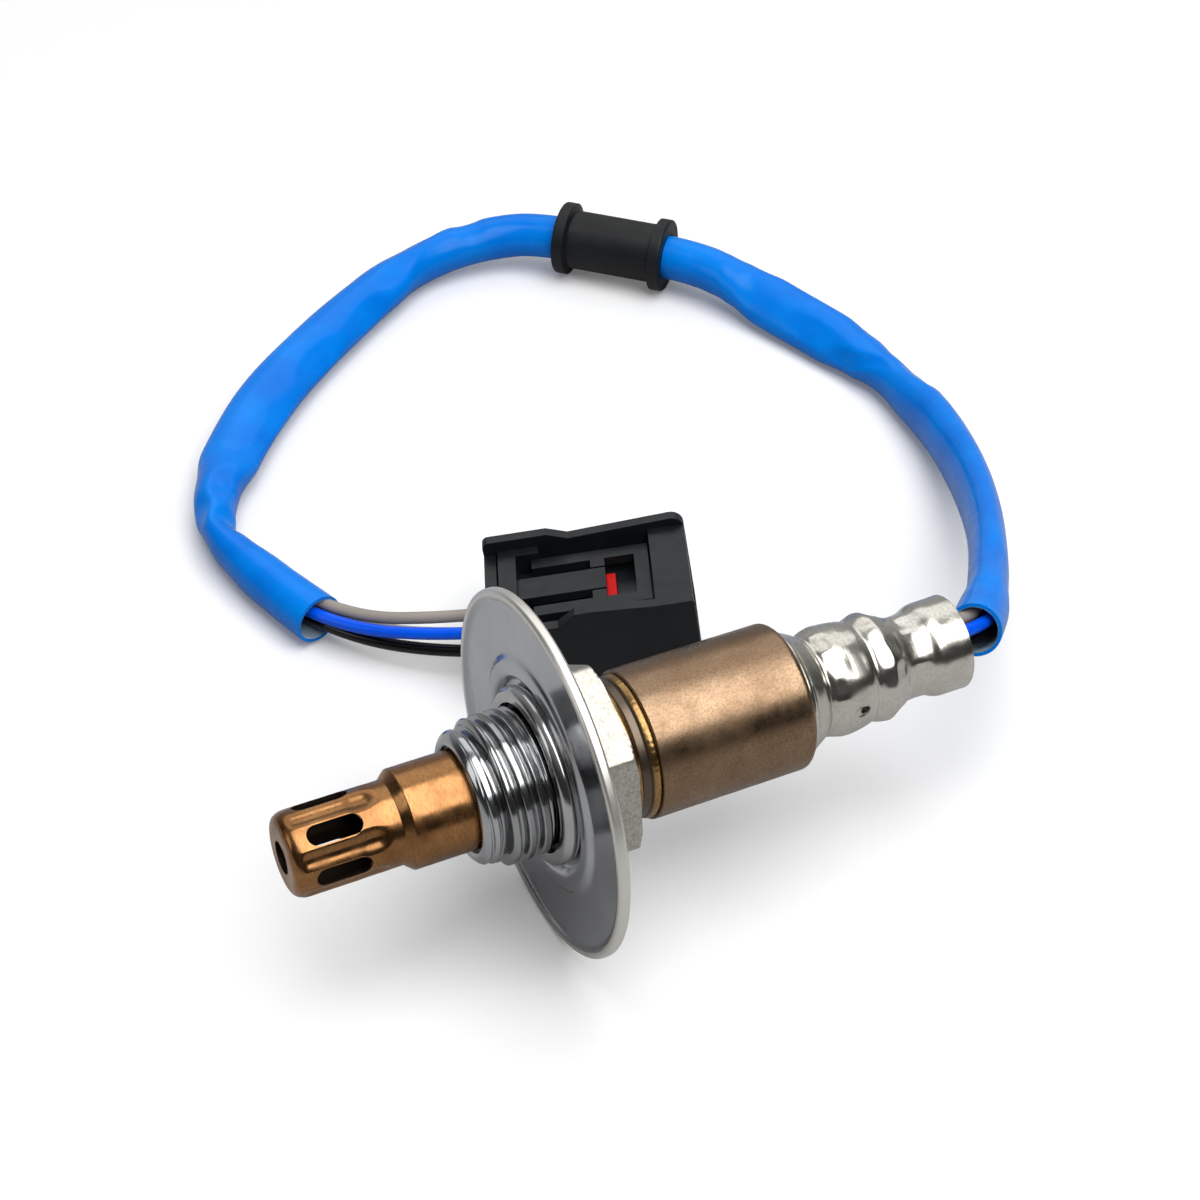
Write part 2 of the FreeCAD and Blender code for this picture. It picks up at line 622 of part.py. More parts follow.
def body_cover():
    body = new_body("body_cover")
    turn(body, "drawn_tube", [
        ("body_front", "body_bore"),
        ("body_front", "body_radius - body_edge", "body_edge * 1.001"),
        ("body_front + body_edge", "body_radius"),
        ("body_rear - body_round", "body_radius", "body_round * 1.001"),
        ("body_rear", "body_radius - body_round"),
        ("body_rear", "sleeve_front + fit_gap"),
        ("body_rear - body_sheet", "sleeve_front + fit_gap"),
        ("body_rear - body_sheet", "body_bore - body_edge"),
        ("body_rear - body_sheet - body_edge", "body_bore"),
    ])


def sleeve_outline(inset):
    """Outside of the crimped rear sleeve, moved inwards by the inset, front to rear."""
    def station(name):
        return f"body_rear + {name}"

    def reach(name):
        return f"{name} - {inset}"

    return [
        (station("(-sleeve_inset)"), reach("sleeve_front")),
        (station("shoulder_start"), reach("sleeve_front")),
        (station("shoulder_length"), reach("waist_radius") + " + shoulder_drop"),
        (station("waist_end"), reach("waist_radius"), f"bulge_one_radius - {inset}"),
        (station("bulge_one_end"), reach("groove_radius"), f"bulge_two_radius - {inset}"),
        (station("bulge_two_end"), reach("crimp_radius") + " + crimp_run_in"),
        (station("bulge_two_end + crimp_edge"), reach("crimp_radius")),
        (station("crimp_end"), reach("crimp_radius")),
        (station("flare_start"), reach("flare_radius")),
        (station("sleeve_end"), reach("flare_radius")),
    ]


def reversed_outline(points):
    """The same outline walked the other way, its arcs bulging to the other side."""
    turned = []
    for number in range(len(points) - 1, -1, -1):
        radius = points[number - 1][2:] if number else ()
        turned.append(points[number][:2] + tuple(f"-({item})" for item in radius))
    return turned


def rear_sleeve():
    body = new_body("rear_sleeve")
    turn(body, "crimped_tube", sleeve_outline("0") + reversed_outline(sleeve_outline("sleeve_sheet")))
    half_flats = "crimp_flats / 2"
    corner = f"({half_flats} / cos(180 / crimp_sides))"
    step = 360 / size("crimp_sides")
    extrude(body, "crimp", "YZ_Plane", "body_rear + bulge_two_end + crimp_edge",
            "crimp_end - bulge_two_end - crimp_edge", [
        ("circle", "0", "0", "crimp_radius * 1.2"),
        [(f"{corner} * cos({step * number})", f"{corner} * sin({step * number})")
         for number in range(round(size("crimp_sides")))],
    ], cut=True)
    vent_at = "body_rear + (waist_end + bulge_one_end) / 2"
    extrude(body, "vent", "XZ_Plane", "crimp_radius", "crimp_radius", [
        ("circle", vent_at, "0", "vent_radius"),
    ], cut=True)


def vent_filter():
    start = "body_rear + waist_end + filter_start"
    outer = "waist_radius - sleeve_sheet - 2 * fit_gap"
    filler_ring("vent_filter", start, f"{start} + filter_length", outer, f"{outer} - filter_wall")


# Rear: insulator with its contacts, and the rubber grommet that the wires leave by

WIRES = ["black", "white", "grey", "blue"]
SIDES = [(-1, -1), (1, -1), (1, 1), (-1, 1)]


def wire_holes(radius, spread="contact_spread"):
    return [("circle", f"{across} * {spread}", f"{up} * {spread}", radius) for across, up in SIDES]


def contact_insulator():
    body = new_body("contact_insulator")
    turn(body, "cylinder", rectangle("insulator_front", "insulator_rear", "0", "insulator_radius"))
    side = "(contact_spread + contact_width / 2 + contact_room)"
    height = "(element_thickness / 2 + contact_sheet + contact_room)"
    extrude(body, "contact_chamber", "YZ_Plane", "insulator_front",
            "contact_rear - contact_barrel - insulator_front",
            [rectangle(f"-{side}", side, f"-{height}", height)], cut=True)
    extrude(body, "wire_holes", "YZ_Plane", "contact_rear - contact_barrel - 0.5",
            "insulator_rear - contact_rear + contact_barrel + 1",
            wire_holes("wire_radius + loose_gap"), cut=True)


def contact_springs():
    for number, (across, up) in enumerate(SIDES, start=1):
        body = new_body(f"contact_spring_{number}")
        near = f"{up} * element_thickness / 2"
        far = f"{up} * (element_thickness / 2 + contact_sheet)"
        low, high = (near, far) if up > 0 else (far, near)
        left = f"{across} * contact_spread - contact_width / 2"
        extrude(body, "leaf", "YZ_Plane", "insulator_front + 1",
                "contact_rear - contact_barrel - insulator_front - 0.9",
                [rectangle(left, f"{left} + contact_width", low, high)])
        extrude(body, "barrel", "YZ_Plane", "contact_rear - contact_barrel", "contact_barrel",
                [("circle", f"{across} * contact_spread", f"{up} * contact_spread", "wire_radius")])


def insulator_clip():
    body = new_body("insulator_clip")
    start = "insulator_front + clip_start"
    turn(body, "ring", [
        (start, "insulator_radius + fit_gap"),
        (start, "insulator_radius + clip_sheet"),
        (f"{start} + clip_sheet", "body_bore - fit_gap"),
        (f"{start} + clip_length - clip_sheet", "body_bore - fit_gap"),
        (f"{start} + clip_length", "insulator_radius + clip_sheet"),
        (f"{start} + clip_length", "insulator_radius + fit_gap"),
    ])


def wire_grommet():
    body = new_body("wire_grommet")
    front = "body_rear + waist_end + filter_start + filter_length + 0.8"
    turn(body, "plug", [
        (front, "0"),
        (front, "crimp_radius - sleeve_sheet - fit_gap"),
        ("body_rear + crimp_end + 0.1", "crimp_radius - sleeve_sheet - fit_gap"),
        ("body_rear + flare_start + 0.1", "flare_radius - sleeve_sheet - fit_gap"),
        ("rear_end - grommet_inset - grommet_bevel", "flare_radius - sleeve_sheet - fit_gap"),
        ("rear_end - grommet_inset", "flare_radius - sleeve_sheet - fit_gap - grommet_bevel"),
        ("rear_end - grommet_inset", "0"),
    ])
    extrude(body, "wire_holes", "YZ_Plane", front, f"rear_end - ({front})",
            wire_holes("wire_radius + fit_gap"), cut=True)


# Lead: four wires in a protective sleeve, laid in one loop on the ground

# Centre line of the bundle from the sensor's rear to the connector, laid by hand
BUNDLE = [
    Vector(50.0, 0.0, 0.0),
    Vector(61.2, 0.0, 0.0),
    Vector(67.2, 6.4, -3.4),
    Vector(75.2, 17.6, -7.4),
    Vector(83.3, 30.8, -11.2),
    Vector(90.1, 46.0, -14.8),
    Vector(95.0, 62.6, -17.6),
    Vector(95.8, 78.4, -19.0),
    Vector(92.8, 90.8, -19.0),
    Vector(89.0, 101.6, -18.6),
    Vector(86.0, 109.6, -17.6),
    Vector(81.4, 117.2, -16.7),
    Vector(63.4, 134.8, -16.7),
    Vector(56.6, 138.2, -17.4),
    Vector(48.0, 139.2, -18.2),
    Vector(39.4, 137.0, -18.8),
    Vector(29.6, 130.8, -19.0),
    Vector(19.0, 123.0, -19.0),
    Vector(7.6, 113.4, -19.0),
    Vector(-2.6, 101.2, -19.0),
    Vector(-9.6, 90.0, -19.0),
    Vector(-11.2, 79.6, -19.0),
    Vector(-3.4, 56.4, -18.3),
]
SLEEVE_FIRST = Vector(62.0, 1.2, -0.7)
SLEEVE_LAST = Vector(-4.6, 59.6, -18.8)
GROMMET_RUN = (11, 12)


def rounded_path(points, tell=""):
    """Straight runs joined by tangent arcs, each as large as its two runs allow."""
    edges = []
    radii = []
    start = points[0]
    for number in range(1, len(points) - 1):
        here = points[number]
        before = (points[number - 1] - here)
        after = (points[number + 1] - here)
        half_turn = (math.pi - before.getAngle(after)) / 2
        reach = 0.45 * min(before.Length, after.Length)
        before.normalize()
        after.normalize()
        inward = (before + after).normalize()
        radius = reach / math.tan(half_turn)
        enter = here + before * reach
        leave = here + after * reach
        crown = here + inward * (radius / math.cos(half_turn) - radius)
        edges.append(Part.LineSegment(start, enter).toShape())
        edges.append(Part.Arc(enter, crown, leave).toShape())
        radii.append(radius)
        start = leave
    edges.append(Part.LineSegment(start, points[-1]).toShape())
    if tell:
        print(tell, "bend radii", " ".join(f"{radius:.1f}" for radius in radii))
    return Part.Wire(edges)


def swept(points, radius, tell=""):
    """A round solid along a rounded path; its volume is compared with section times length."""
    path = rounded_path(points, tell)
    along = (points[1] - points[0]).normalize()
    ring = Part.Wire(Part.Circle(points[0], along, radius).toShape())
    solid = path.makePipeShell([ring], True, False)
    expected = math.pi * radius * radius * path.Length
    if tell:
        print(tell, f"length {path.Length:.1f} volume ratio {solid.Volume / expected:.4f}")
    return solid


def cord_part(label, shape):
    item = doc.addObject("Part::Feature", label)
    item.Label = label
    item.Shape = shape
    PARTS.append(item)
    return item


def offset_route(points, across, up):
    """The route moved sideways, the offset carried along without twist."""
    directions = [(points[i + 1] - points[i]).normalize() for i in range(len(points) - 1)]
    offset = Vector(0, across, up)
    moved = [points[0] + offset]
    for number in range(1, len(directions)):
        before = directions[number - 1]
        after = directions[number]
        slide = -offset.dot(after) / (1 + before.dot(after))
        moved.append(points[number] + offset + before * slide)
        offset = FreeCAD.Rotation(before, after).multVec(offset)
    moved.append(points[-1] + offset)
    return moved


def plug_placement():
    turned = FreeCAD.Rotation(Vector(0, 0, 1), size("plug_yaw"))
    tilted = FreeCAD.Rotation(Vector(0, 1, 0), -size("plug_pitch"))
    corner = Vector(size("plug_x"), size("plug_y"), size("ground"))
    return FreeCAD.Placement(corner, turned.multiply(tilted))


def cavity(side):
    """Centre of a wire cavity in the connector's own frame, (across, up) as formulas."""
    across, up = side
    return (f"{across} * cavity_pitch_across / 2",
            f"cavity_floor + {(up + 1) // 2} * cavity_pitch_up")


def wires():
    place = plug_placement()
    spread = size("wire_spread")
    wide = size("contact_spread")
    for name, (across, up) in zip(WIRES, SIDES):
        inside = offset_route(BUNDLE, across * spread, up * spread)
        # In the sensor the wires stand wider apart than in the sleeve
        front = [
            Vector(size("contact_rear"), across * wide, up * wide),
            Vector(BUNDLE[1].x, across * wide, up * wide),
        ]
        at_y, at_z = cavity(CAVITY_OF[name])
        entry = Vector(0, size(at_y), size(at_z))
        ends = [
            place.multVec(entry - Vector(size("wire_lead"), 0, 0)),
            place.multVec(entry + Vector(size("seal_inset + seal_length + 1"), 0, 0)),
        ]
        cord_part(f"wire_{name}", swept(front + inside[2:] + ends, size("wire_radius"), name))


# Which cavity each wire enters, (across, up): chosen so that no wires cross
CAVITY_OF = {"black": (-1, -1), "white": (1, -1), "grey": (1, 1), "blue": (-1, 1)}


def sleeve_points():
    return [SLEEVE_FIRST] + BUNDLE[2:-1] + [SLEEVE_LAST]


def protective_sleeve():
    outside = swept(sleeve_points(), size("tube_radius"), "sleeve")
    inside = swept(sleeve_points(), size("tube_radius - tube_wall"))
    cord_part("protective_sleeve", outside.cut(inside))


def cable_grommet():
    body = new_body("cable_grommet")
    half = "grommet_length / 2"
    turn(body, "moulding", [
        (f"-({half})", "tube_radius + fit_gap"),
        (f"-({half})", "grommet_flange - grommet_bevel", "grommet_bevel * 1.001"),
        (f"-({half}) + grommet_bevel", "grommet_flange"),
        (f"-({half}) + grommet_flange_width", "grommet_flange"),
        (f"-({half}) + grommet_flange_width + grommet_bevel", "grommet_waist"),
        (f"{half} - grommet_flange_width - grommet_bevel", "grommet_waist"),
        (f"{half} - grommet_flange_width", "grommet_flange"),
        (f"{half} - grommet_bevel", "grommet_flange", "grommet_bevel * 1.001"),
        (half, "grommet_flange - grommet_bevel"),
        (half, "tube_radius + fit_gap"),
    ])
    first, last = (BUNDLE[number] for number in GROMMET_RUN)
    middle = (first + last) * 0.5
    body.Placement = FreeCAD.Placement(middle, FreeCAD.Rotation(Vector(1, 0, 0), last - first))


# Connector: drawn lying along +X from its wire end, base at z = 0, then put in its place

def connector_housing():
    body = new_body("connector_housing")
    half = "plug_width / 2"
    inner = "(plug_width / 2 - plug_wall)"
    above = "plug_height + 1"
    extrude(body, "block", "XZ_Plane", f"-({half})", "plug_width", [[
        ("0", "plug_bevel"),
        ("plug_bevel", "0"),
        ("plug_length - plug_bevel", "0"),
        ("plug_length", "plug_bevel"),
        ("plug_length", "guard_mouth - plug_round", "-plug_round * 1.001"),
        ("plug_length - plug_round", "guard_mouth"),
        ("guard_dip_end", "plug_height - guard_dip"),
        ("guard_dip_start", "plug_height"),
        ("plug_round / 2", "plug_height", "-plug_round / 2 * 1.001"),
        ("0", "plug_height - plug_round / 2"),
    ]])
    extrude(body, "front_wall", "XZ_Plane", inner, "plug_wall + 1", [[
        ("-1", "front_wall_low"),
        ("front_wall_ramp", "front_wall_low"),
        ("front_wall_ramp_end", "front_wall_high"),
        ("bridge_start", "bridge_top"),
        ("plug_length + 1", "bridge_top"),
        ("plug_length + 1", above),
        ("-1", above),
    ]], cut=True)
    extrude(body, "bridge_recess", "XY_Plane", "bridge_top", above, [
        rectangle("bridge_start", "plug_length + 1", f"-{inner} - 0.01", inner),
    ], cut=True)
    extrude(body, "latch_bay", "XY_Plane", "plug_deck", above, [
        rectangle("end_wall", "bridge_start", f"-{inner}", inner),
    ], cut=True)
    extrude(body, "wire_end", "XY_Plane", "end_wall_top", above, [
        rectangle("-1", "end_wall", f"-{inner}", inner),
    ], cut=True)
    extrude(body, "hood", "YZ_Plane", "hood_start", "hood_depth + 1", [
        rectangle(f"-{inner}", inner, "plug_wall", "bridge_top - bridge_thickness"),
        rectangle("-block_width / 2", "block_width / 2", "block_low", "block_top"),
    ], cut=True)
    extrude(body, "block_end", "YZ_Plane", "block_front", "block_inset + 1", [
        rectangle("-block_width / 2 - 0.1", "block_width / 2 + 0.1", "block_low - 0.1", "block_top + 0.1"),
    ], cut=True)
    extrude(body, "wire_cavities", "YZ_Plane", "-1", "cavity_depth + 1.5", [
        ("circle", *cavity(side), "cavity_radius") for side in SIDES
    ], cut=True)
    room = "(terminal_width / 2 + terminal_gap)"
    extrude(body, "terminal_cavities", "YZ_Plane", "cavity_depth", "plug_length", [
        rectangle(f"{cavity(side)[0]} - {room}", f"{cavity(side)[0]} + {room}",
                  f"{cavity(side)[1]} - {room}", f"{cavity(side)[1]} + {room}")
        for side in SIDES
    ], cut=True)
    latch(body)
    retainer_slot(body)


def latch(body):
    """Sprung latch moulded with the housing: two arms, a frame with a window, a tongue."""
    inner = "(plug_width / 2 - plug_wall)"
    low = "latch_top - latch_thickness"
    foot = "plug_deck - 0.2"
    outer = "latch_width / 2"
    window = "(latch_width / 2 - latch_bar)"
    tongue = "tongue_width / 2"
    slit = f"({tongue} + tongue_slit)"
    extrude(body, "cross_wall", "XY_Plane", foot, "bridge_top - plug_deck + 0.2", [[
        ("rest_start", f"-{inner} - 0.01"),
        ("rest_end", f"-{inner} - 0.01"),
        ("rest_end", f"{inner} - rest_hook_width"),
        ("rest_hook", f"{inner} - rest_hook_width"),
        ("rest_hook", f"{inner} + 0.01"),
        ("rest_start", f"{inner} + 0.01"),
    ]])
    extrude(body, "arm_feet", "XY_Plane", foot, "latch_top - latch_thickness - plug_deck + 0.4", [
        rectangle("arm_start", "arm_start + arm_root", window, outer),
        rectangle("arm_start", "arm_start + arm_root", f"-({outer})", f"-{window}"),
    ])
    extrude(body, "latch_frame", "XY_Plane", low, "latch_thickness", [
        [
            ("arm_start", f"-({outer})"),
            ("frame_end", f"-({outer})"),
            ("frame_end", outer),
            ("arm_start", outer),
            ("arm_start", window),
            ("frame_start", window),
            ("frame_start", slit),
            ("window_start", slit),
            ("window_start", window),
            ("frame_end - latch_bar", window),
            ("frame_end - latch_bar", f"-{window}"),
            ("window_start", f"-{window}"),
            ("window_start", f"-{slit}"),
            ("frame_start", f"-{slit}"),
            ("frame_start", f"-{window}"),
            ("arm_start", f"-{window}"),
        ],
        rectangle("rest_end - 0.01", "window_start", f"-{tongue}", tongue),
    ])


def retainer_slot(body):
    """Slot in the terminal block for the retainer's tab, with an opening for its catch."""
    side = "(catch_width / 2 + 0.1)"
    extrude(body, "tab_slot", "YZ_Plane", "window_start - 0.1", "plug_length", [
        rectangle(f"-{side}", side, "tab_top - tab_thickness - 0.05", "tab_top + 0.05"),
    ], cut=True)
    extrude(body, "catch_opening", "XY_Plane", "tab_top - tab_thickness",
            "latch_top - latch_thickness - tab_top", [
        rectangle("window_start - 0.1", "window_start + catch_length + 0.1", f"-{side}", side),
    ], cut=True)


def front_retainer():
    body = new_body("front_retainer")
    side = "catch_width / 2"
    extrude(body, "plate", "YZ_Plane", "block_front", "retainer_thickness", [
        rectangle("-block_width / 2", "block_width / 2", "block_low", "block_top"),
    ] + [
        rectangle(f"{cavity(place)[0]} - 0.5", f"{cavity(place)[0]} + 0.5",
                  f"{cavity(place)[1]} - 0.5", f"{cavity(place)[1]} + 0.5") for place in SIDES
    ])
    extrude(body, "tab", "XY_Plane", "tab_top - tab_thickness", "tab_thickness", [
        rectangle("window_start", "block_front + retainer_thickness / 2", f"-{side}", side),
    ])
    extrude(body, "catch", "XY_Plane", "tab_top - tab_thickness", "catch_top - tab_top + tab_thickness", [
        rectangle("window_start", "window_start + catch_length", f"-{side}", side),
    ])


def perimeter_seal():
    body = new_body("perimeter_seal")
    side = "(block_width / 2 + ring_seal_lip)"
    extrude(body, "ring", "YZ_Plane", "hood_start", "ring_seal_length", [
        rectangle(f"-{side}", side, "block_low - ring_seal_top", "block_top + ring_seal_top"),
        rectangle("-block_width / 2", "block_width / 2", "block_low", "block_top"),
    ])


def plug_details():
    half = "terminal_width / 2"
    hollow = "(terminal_width / 2 - terminal_sheet)"
    barrel_start = "seal_inset + seal_length + 1"
    for number, side in enumerate(SIDES, start=1):
        across, up = cavity(side)
        seal = new_body(f"wire_seal_{number}")
        extrude(seal, "ring", "YZ_Plane", "seal_inset", "seal_length", [
            ("circle", across, up, "cavity_radius"),
            ("circle", across, up, "wire_radius"),
        ])
        terminal = new_body(f"receptacle_terminal_{number}")
        extrude(terminal, "box", "YZ_Plane", "terminal_start", "block_front - terminal_start - 0.5", [
            rectangle(f"{across} - {half}", f"{across} + {half}", f"{up} - {half}", f"{up} + {half}"),
            rectangle(f"{across} - {hollow}", f"{across} + {hollow}", f"{up} - {hollow}", f"{up} + {hollow}"),
        ])
        extrude(terminal, "barrel", "YZ_Plane", barrel_start, f"terminal_start + 0.1 - ({barrel_start})",
                [("circle", across, up, "wire_radius * 0.9")])


def connector():
    first = len(PARTS)
    connector_housing()
    front_retainer()
    perimeter_seal()
    plug_details()
    for body in PARTS[first:]:
        body.Placement = plug_placement()


def build():
    outer_protection_cover()
    inner_protection_cover()
    threaded_housing()
    seat_gasket()
    heat_shield_disc()
    sensing_element()
    lower_holder()
    filler_ring("powder_seal", "powder_front", "powder_rear", "rear_bore - fit_gap")
    filler_ring("upper_holder", "powder_rear", "packing_front", "rear_bore - fit_gap")
    filler_ring("packing_ring", "packing_front", "packing_rear", "rear_bore - fit_gap", "lip_bore")
    weld_collar()
    body_cover()
    rear_sleeve()
    vent_filter()
    contact_insulator()
    contact_springs()
    insulator_clip()
    wire_grommet()
    wires()
    protective_sleeve()
    cable_grommet()
    connector()


build()
doc.recompute()

for item in doc.Objects:
    if "Invalid" in item.State or "Error" in item.State:
        raise RuntimeError(f"{item.Label} failed: {item.State}")

os.makedirs("parts", exist_ok=True)
for item in PARTS:
    shape = item.Shape
    if shape.isNull() or not shape.isValid():
        raise RuntimeError(f"{item.Label} has no valid shape")
    shape.exportStep(f"parts/{item.Label}.step")
    print(f"{item.Label}: {len(shape.Solids)} solid, {shape.Volume:.1f} mm3")
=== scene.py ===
# %% [markdown]
# # Oxygen sensor
# A screw-in exhaust sensor: a slotted tip cover, a thread with its crush gasket and
# heat-shield disc, a hexagon, a bronze body, a crimped sleeve, and a short sleeved lead
# that ends in a connector. The CAD frame gives every piece its real size and place.
# This script dresses that frame: it makes the surfaces that light shows up, and paints them.
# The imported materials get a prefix, which leaves their names free for the real finishes.

# %% Load the frame
import math

import bpy
from mathutils import Matrix, Quaternion, Vector


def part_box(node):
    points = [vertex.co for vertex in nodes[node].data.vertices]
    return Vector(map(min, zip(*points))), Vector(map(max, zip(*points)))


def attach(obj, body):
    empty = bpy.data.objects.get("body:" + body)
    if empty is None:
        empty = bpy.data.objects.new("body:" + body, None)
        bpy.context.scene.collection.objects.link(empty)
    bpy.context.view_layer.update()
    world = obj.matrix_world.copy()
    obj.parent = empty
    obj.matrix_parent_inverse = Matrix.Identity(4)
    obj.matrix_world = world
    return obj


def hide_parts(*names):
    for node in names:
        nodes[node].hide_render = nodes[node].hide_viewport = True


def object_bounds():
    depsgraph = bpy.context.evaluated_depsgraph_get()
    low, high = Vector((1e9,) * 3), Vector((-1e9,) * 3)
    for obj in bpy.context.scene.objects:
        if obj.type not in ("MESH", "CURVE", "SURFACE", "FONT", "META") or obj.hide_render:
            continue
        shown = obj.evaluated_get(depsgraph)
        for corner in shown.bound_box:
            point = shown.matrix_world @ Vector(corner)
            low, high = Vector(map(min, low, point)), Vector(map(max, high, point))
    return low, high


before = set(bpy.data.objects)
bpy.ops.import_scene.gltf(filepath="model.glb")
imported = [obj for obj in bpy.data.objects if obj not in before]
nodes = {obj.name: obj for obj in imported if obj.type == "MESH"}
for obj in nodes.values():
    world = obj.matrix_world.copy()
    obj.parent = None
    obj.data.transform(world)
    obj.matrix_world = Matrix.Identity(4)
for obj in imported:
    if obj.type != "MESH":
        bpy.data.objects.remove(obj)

cad_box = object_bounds()
MM = 0.001
for packed in list(bpy.data.materials):
    packed.name = "cad_" + packed.name
print("CAD nodes:", len(nodes))

# %% [markdown]
# The camera comes first, because the lead is judged through it. The photograph was taken
# from about 39 degrees above the table with a long lens. A constraint could aim the camera
# at the part, but the fitted place and axes also give its exact roll, so they are written
# down as one point and two directions, in the frame of the part.

# %% Camera
camera_data = bpy.data.cameras.new("studio_camera")
camera_data.sensor_width = 36
camera_data.lens = 78.58
camera_data.clip_start = 0.01
camera_data.clip_end = 20
camera = bpy.data.objects.new("studio_camera", camera_data)
bpy.context.scene.collection.objects.link(camera)
EYE = Vector((-88.90, -205.56, 209.45)) * MM
EYE_RIGHT = Vector((0.902035, -0.431658, 0.0))
EYE_UP = Vector((0.272896, 0.570258, 0.774800))
EYE_AXES = Matrix((EYE_RIGHT, EYE_UP, EYE_RIGHT.cross(EYE_UP))).transposed().to_4x4()
camera.matrix_world = Matrix.Translation(EYE) @ EYE_AXES
bpy.context.scene.camera = camera
print("lens", camera_data.lens, "mm, from", [round(c, 3) for c in camera.location])

# %% [markdown]
# Most pieces of this sensor are turned, drawn or extruded, so their surfaces are grids:
# rows of points that are joined to the next row. They could be shaped by hand or with a
# stack of modifiers, but a grid says in numbers where each ring lies. Edges sharper than
# a given angle stay crisp, and the rest is shaded smooth.


# %% Grids of points
def piece(name, points, faces, finish, stands_for=(), sharp=35):
    """A visible piece on the sensor's one body, in the place of the CAD nodes it stands for."""
    mesh = bpy.data.meshes.new(name)
    mesh.from_pydata([tuple(point) for point in points], [], faces)
    mesh.validate()
    mesh.shade_smooth()
    mesh.set_sharp_from_angle(angle=math.radians(sharp))
    mesh.materials.append(finish)
    made = bpy.data.objects.new(name, mesh)
    bpy.context.scene.collection.objects.link(made)
    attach(made, "root")
    if stands_for:
        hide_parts(*stands_for)
    print(name, len(mesh.polygons), "faces")
    return made


def grid_faces(rows, columns, close_rows=False):
    """Quads between rows of points; each row is a closed ring."""
    faces = []
    for row in range(rows if close_rows else rows - 1):
        here = row * columns
        there = (row + 1) % rows * columns
        for column in range(columns):
            after = (column + 1) % columns
            faces.append((here + column, here + after, there + after, there + column))
    return faces


# %% [markdown]
# The lead is four insulated wires in a blue sleeve. On the table it lies in one loop. It
# could be simulated, but its photograph shows it from end to end, so its route is a few
# given points, the same as in the CAD source, and a NURBS spline draws the smooth
# line that a springy lead takes between them.

# %% Route of the lead
ROUTE = [Vector(point) * MM for point in (
    (50.0, 0.0, 0.0), (61.2, 0.0, 0.0), (67.2, 6.4, -3.4), (75.2, 17.6, -7.4),
    (83.3, 30.8, -11.2), (90.1, 46.0, -14.8), (95.0, 62.6, -17.6), (95.8, 78.4, -19.0),
    (92.8, 90.8, -19.0), (89.0, 101.6, -18.6), (86.0, 109.6, -17.6), (81.4, 117.2, -16.7),
    (63.4, 134.8, -16.7), (56.6, 138.2, -17.4), (48.0, 139.2, -18.2), (39.4, 137.0, -18.8),
    (29.6, 130.8, -19.0), (19.0, 123.0, -19.0), (7.6, 113.4, -19.0), (-2.6, 101.2, -19.0),
    (-9.6, 90.0, -19.0), (-11.2, 79.6, -19.0), (-3.4, 56.4, -18.3),
)]
SLEEVE_FIRST = Vector((62.0, 1.2, -0.7)) * MM
SLEEVE_LAST = Vector((-4.6, 59.6, -18.8)) * MM


def centreline(points):
    """The points of the smooth line that a NURBS spline draws along a route."""
    data = bpy.data.curves.new("route", "CURVE")
    data.dimensions = "3D"
    spline = data.splines.new("NURBS")
    spline.points.add(len(points) - 1)
    for control, point in zip(spline.points, points):
        control.co = (*point, 1.0)
    spline.order_u = 3
    spline.use_endpoint_u = True
    spline.resolution_u = 16
    holder = bpy.data.objects.new("route", data)
    line = bpy.data.meshes.new_from_object(holder)
    read = [vertex.co.copy() for vertex in line.vertices]
    bpy.data.objects.remove(holder)
    return read


def length_of(points):
    return sum((after - before).length for before, after in zip(points, points[1:]))


sleeve_line = centreline([SLEEVE_FIRST] + ROUTE[2:-1] + [SLEEVE_LAST])
print("sleeve line", round(length_of(sleeve_line) / MM, 1), "mm,", len(sleeve_line), "points")

# %% [markdown]
# A curve with a round bevel would give a plain hose. This lead is pressed flat in places, so
# its tube is made ring by ring. Each ring needs a frame that does not spin: it is the frame
# before it, turned by just the bend between them. A section function gives the half widths
# and the roll at every place, and a dent function presses parts of the wall in.


# %% Tubes
def frames(line):
    """The direction, the side and the upper side at every point of a line."""
    made = []
    ahead = (line[1] - line[0]).normalized()
    side = ahead.cross(Vector((0, 0, 1))).normalized()
    for number, point in enumerate(line):
        behind = line[max(number - 1, 0)]
        further = line[min(number + 1, len(line) - 1)]
        turned = (further - behind).normalized()
        side = ahead.rotation_difference(turned) @ side
        ahead = turned
        made.append((point, ahead, side, side.cross(ahead)))
    return made


def tube(name, line, section, finish, around, wall=0.0, stands_for=(), dent=None):
    """A tube along a line. section(share) gives half width, half height and roll in degrees.

    dent(share, angle) is the part of the radius that is pressed in at a place."""
    rings = []
    for outside in (True, False) if wall else (True,):
        layer = []
        for number, (point, ahead, side, above) in enumerate(frames(line)):
            share = number / (len(line) - 1)
            wide, high, roll = section(share)
            wide, high = (wide, high) if outside else (wide - wall, high - wall)
            turn = Quaternion(ahead, math.radians(roll))
            across, up = turn @ side, turn @ above
            ring = []
            for step in range(around):
                angle = 2 * math.pi * step / around
                keep = 1 - dent(share, angle) if dent else 1
                out = across * (wide * math.cos(angle)) + up * (high * math.sin(angle))
                ring.append(point + out * keep)
            layer.append(ring)
        rings += layer if outside else layer[::-1]
    points = [point for ring in rings for point in ring]
    faces = grid_faces(len(rings), around, close_rows=bool(wall))
    if not wall:
        faces += [tuple(range(around))[::-1],
                  tuple(len(points) - around + k for k in range(around))]
    return piece(name, points, faces, finish, stands_for)


# %% [markdown]
# A finish is a small tree of nodes. It could be wired by hand, link by link, but that hides
# what it works out. So that its arithmetic reads like arithmetic, a class wraps one output
# of a node, and adding or multiplying two of them adds a Math node.


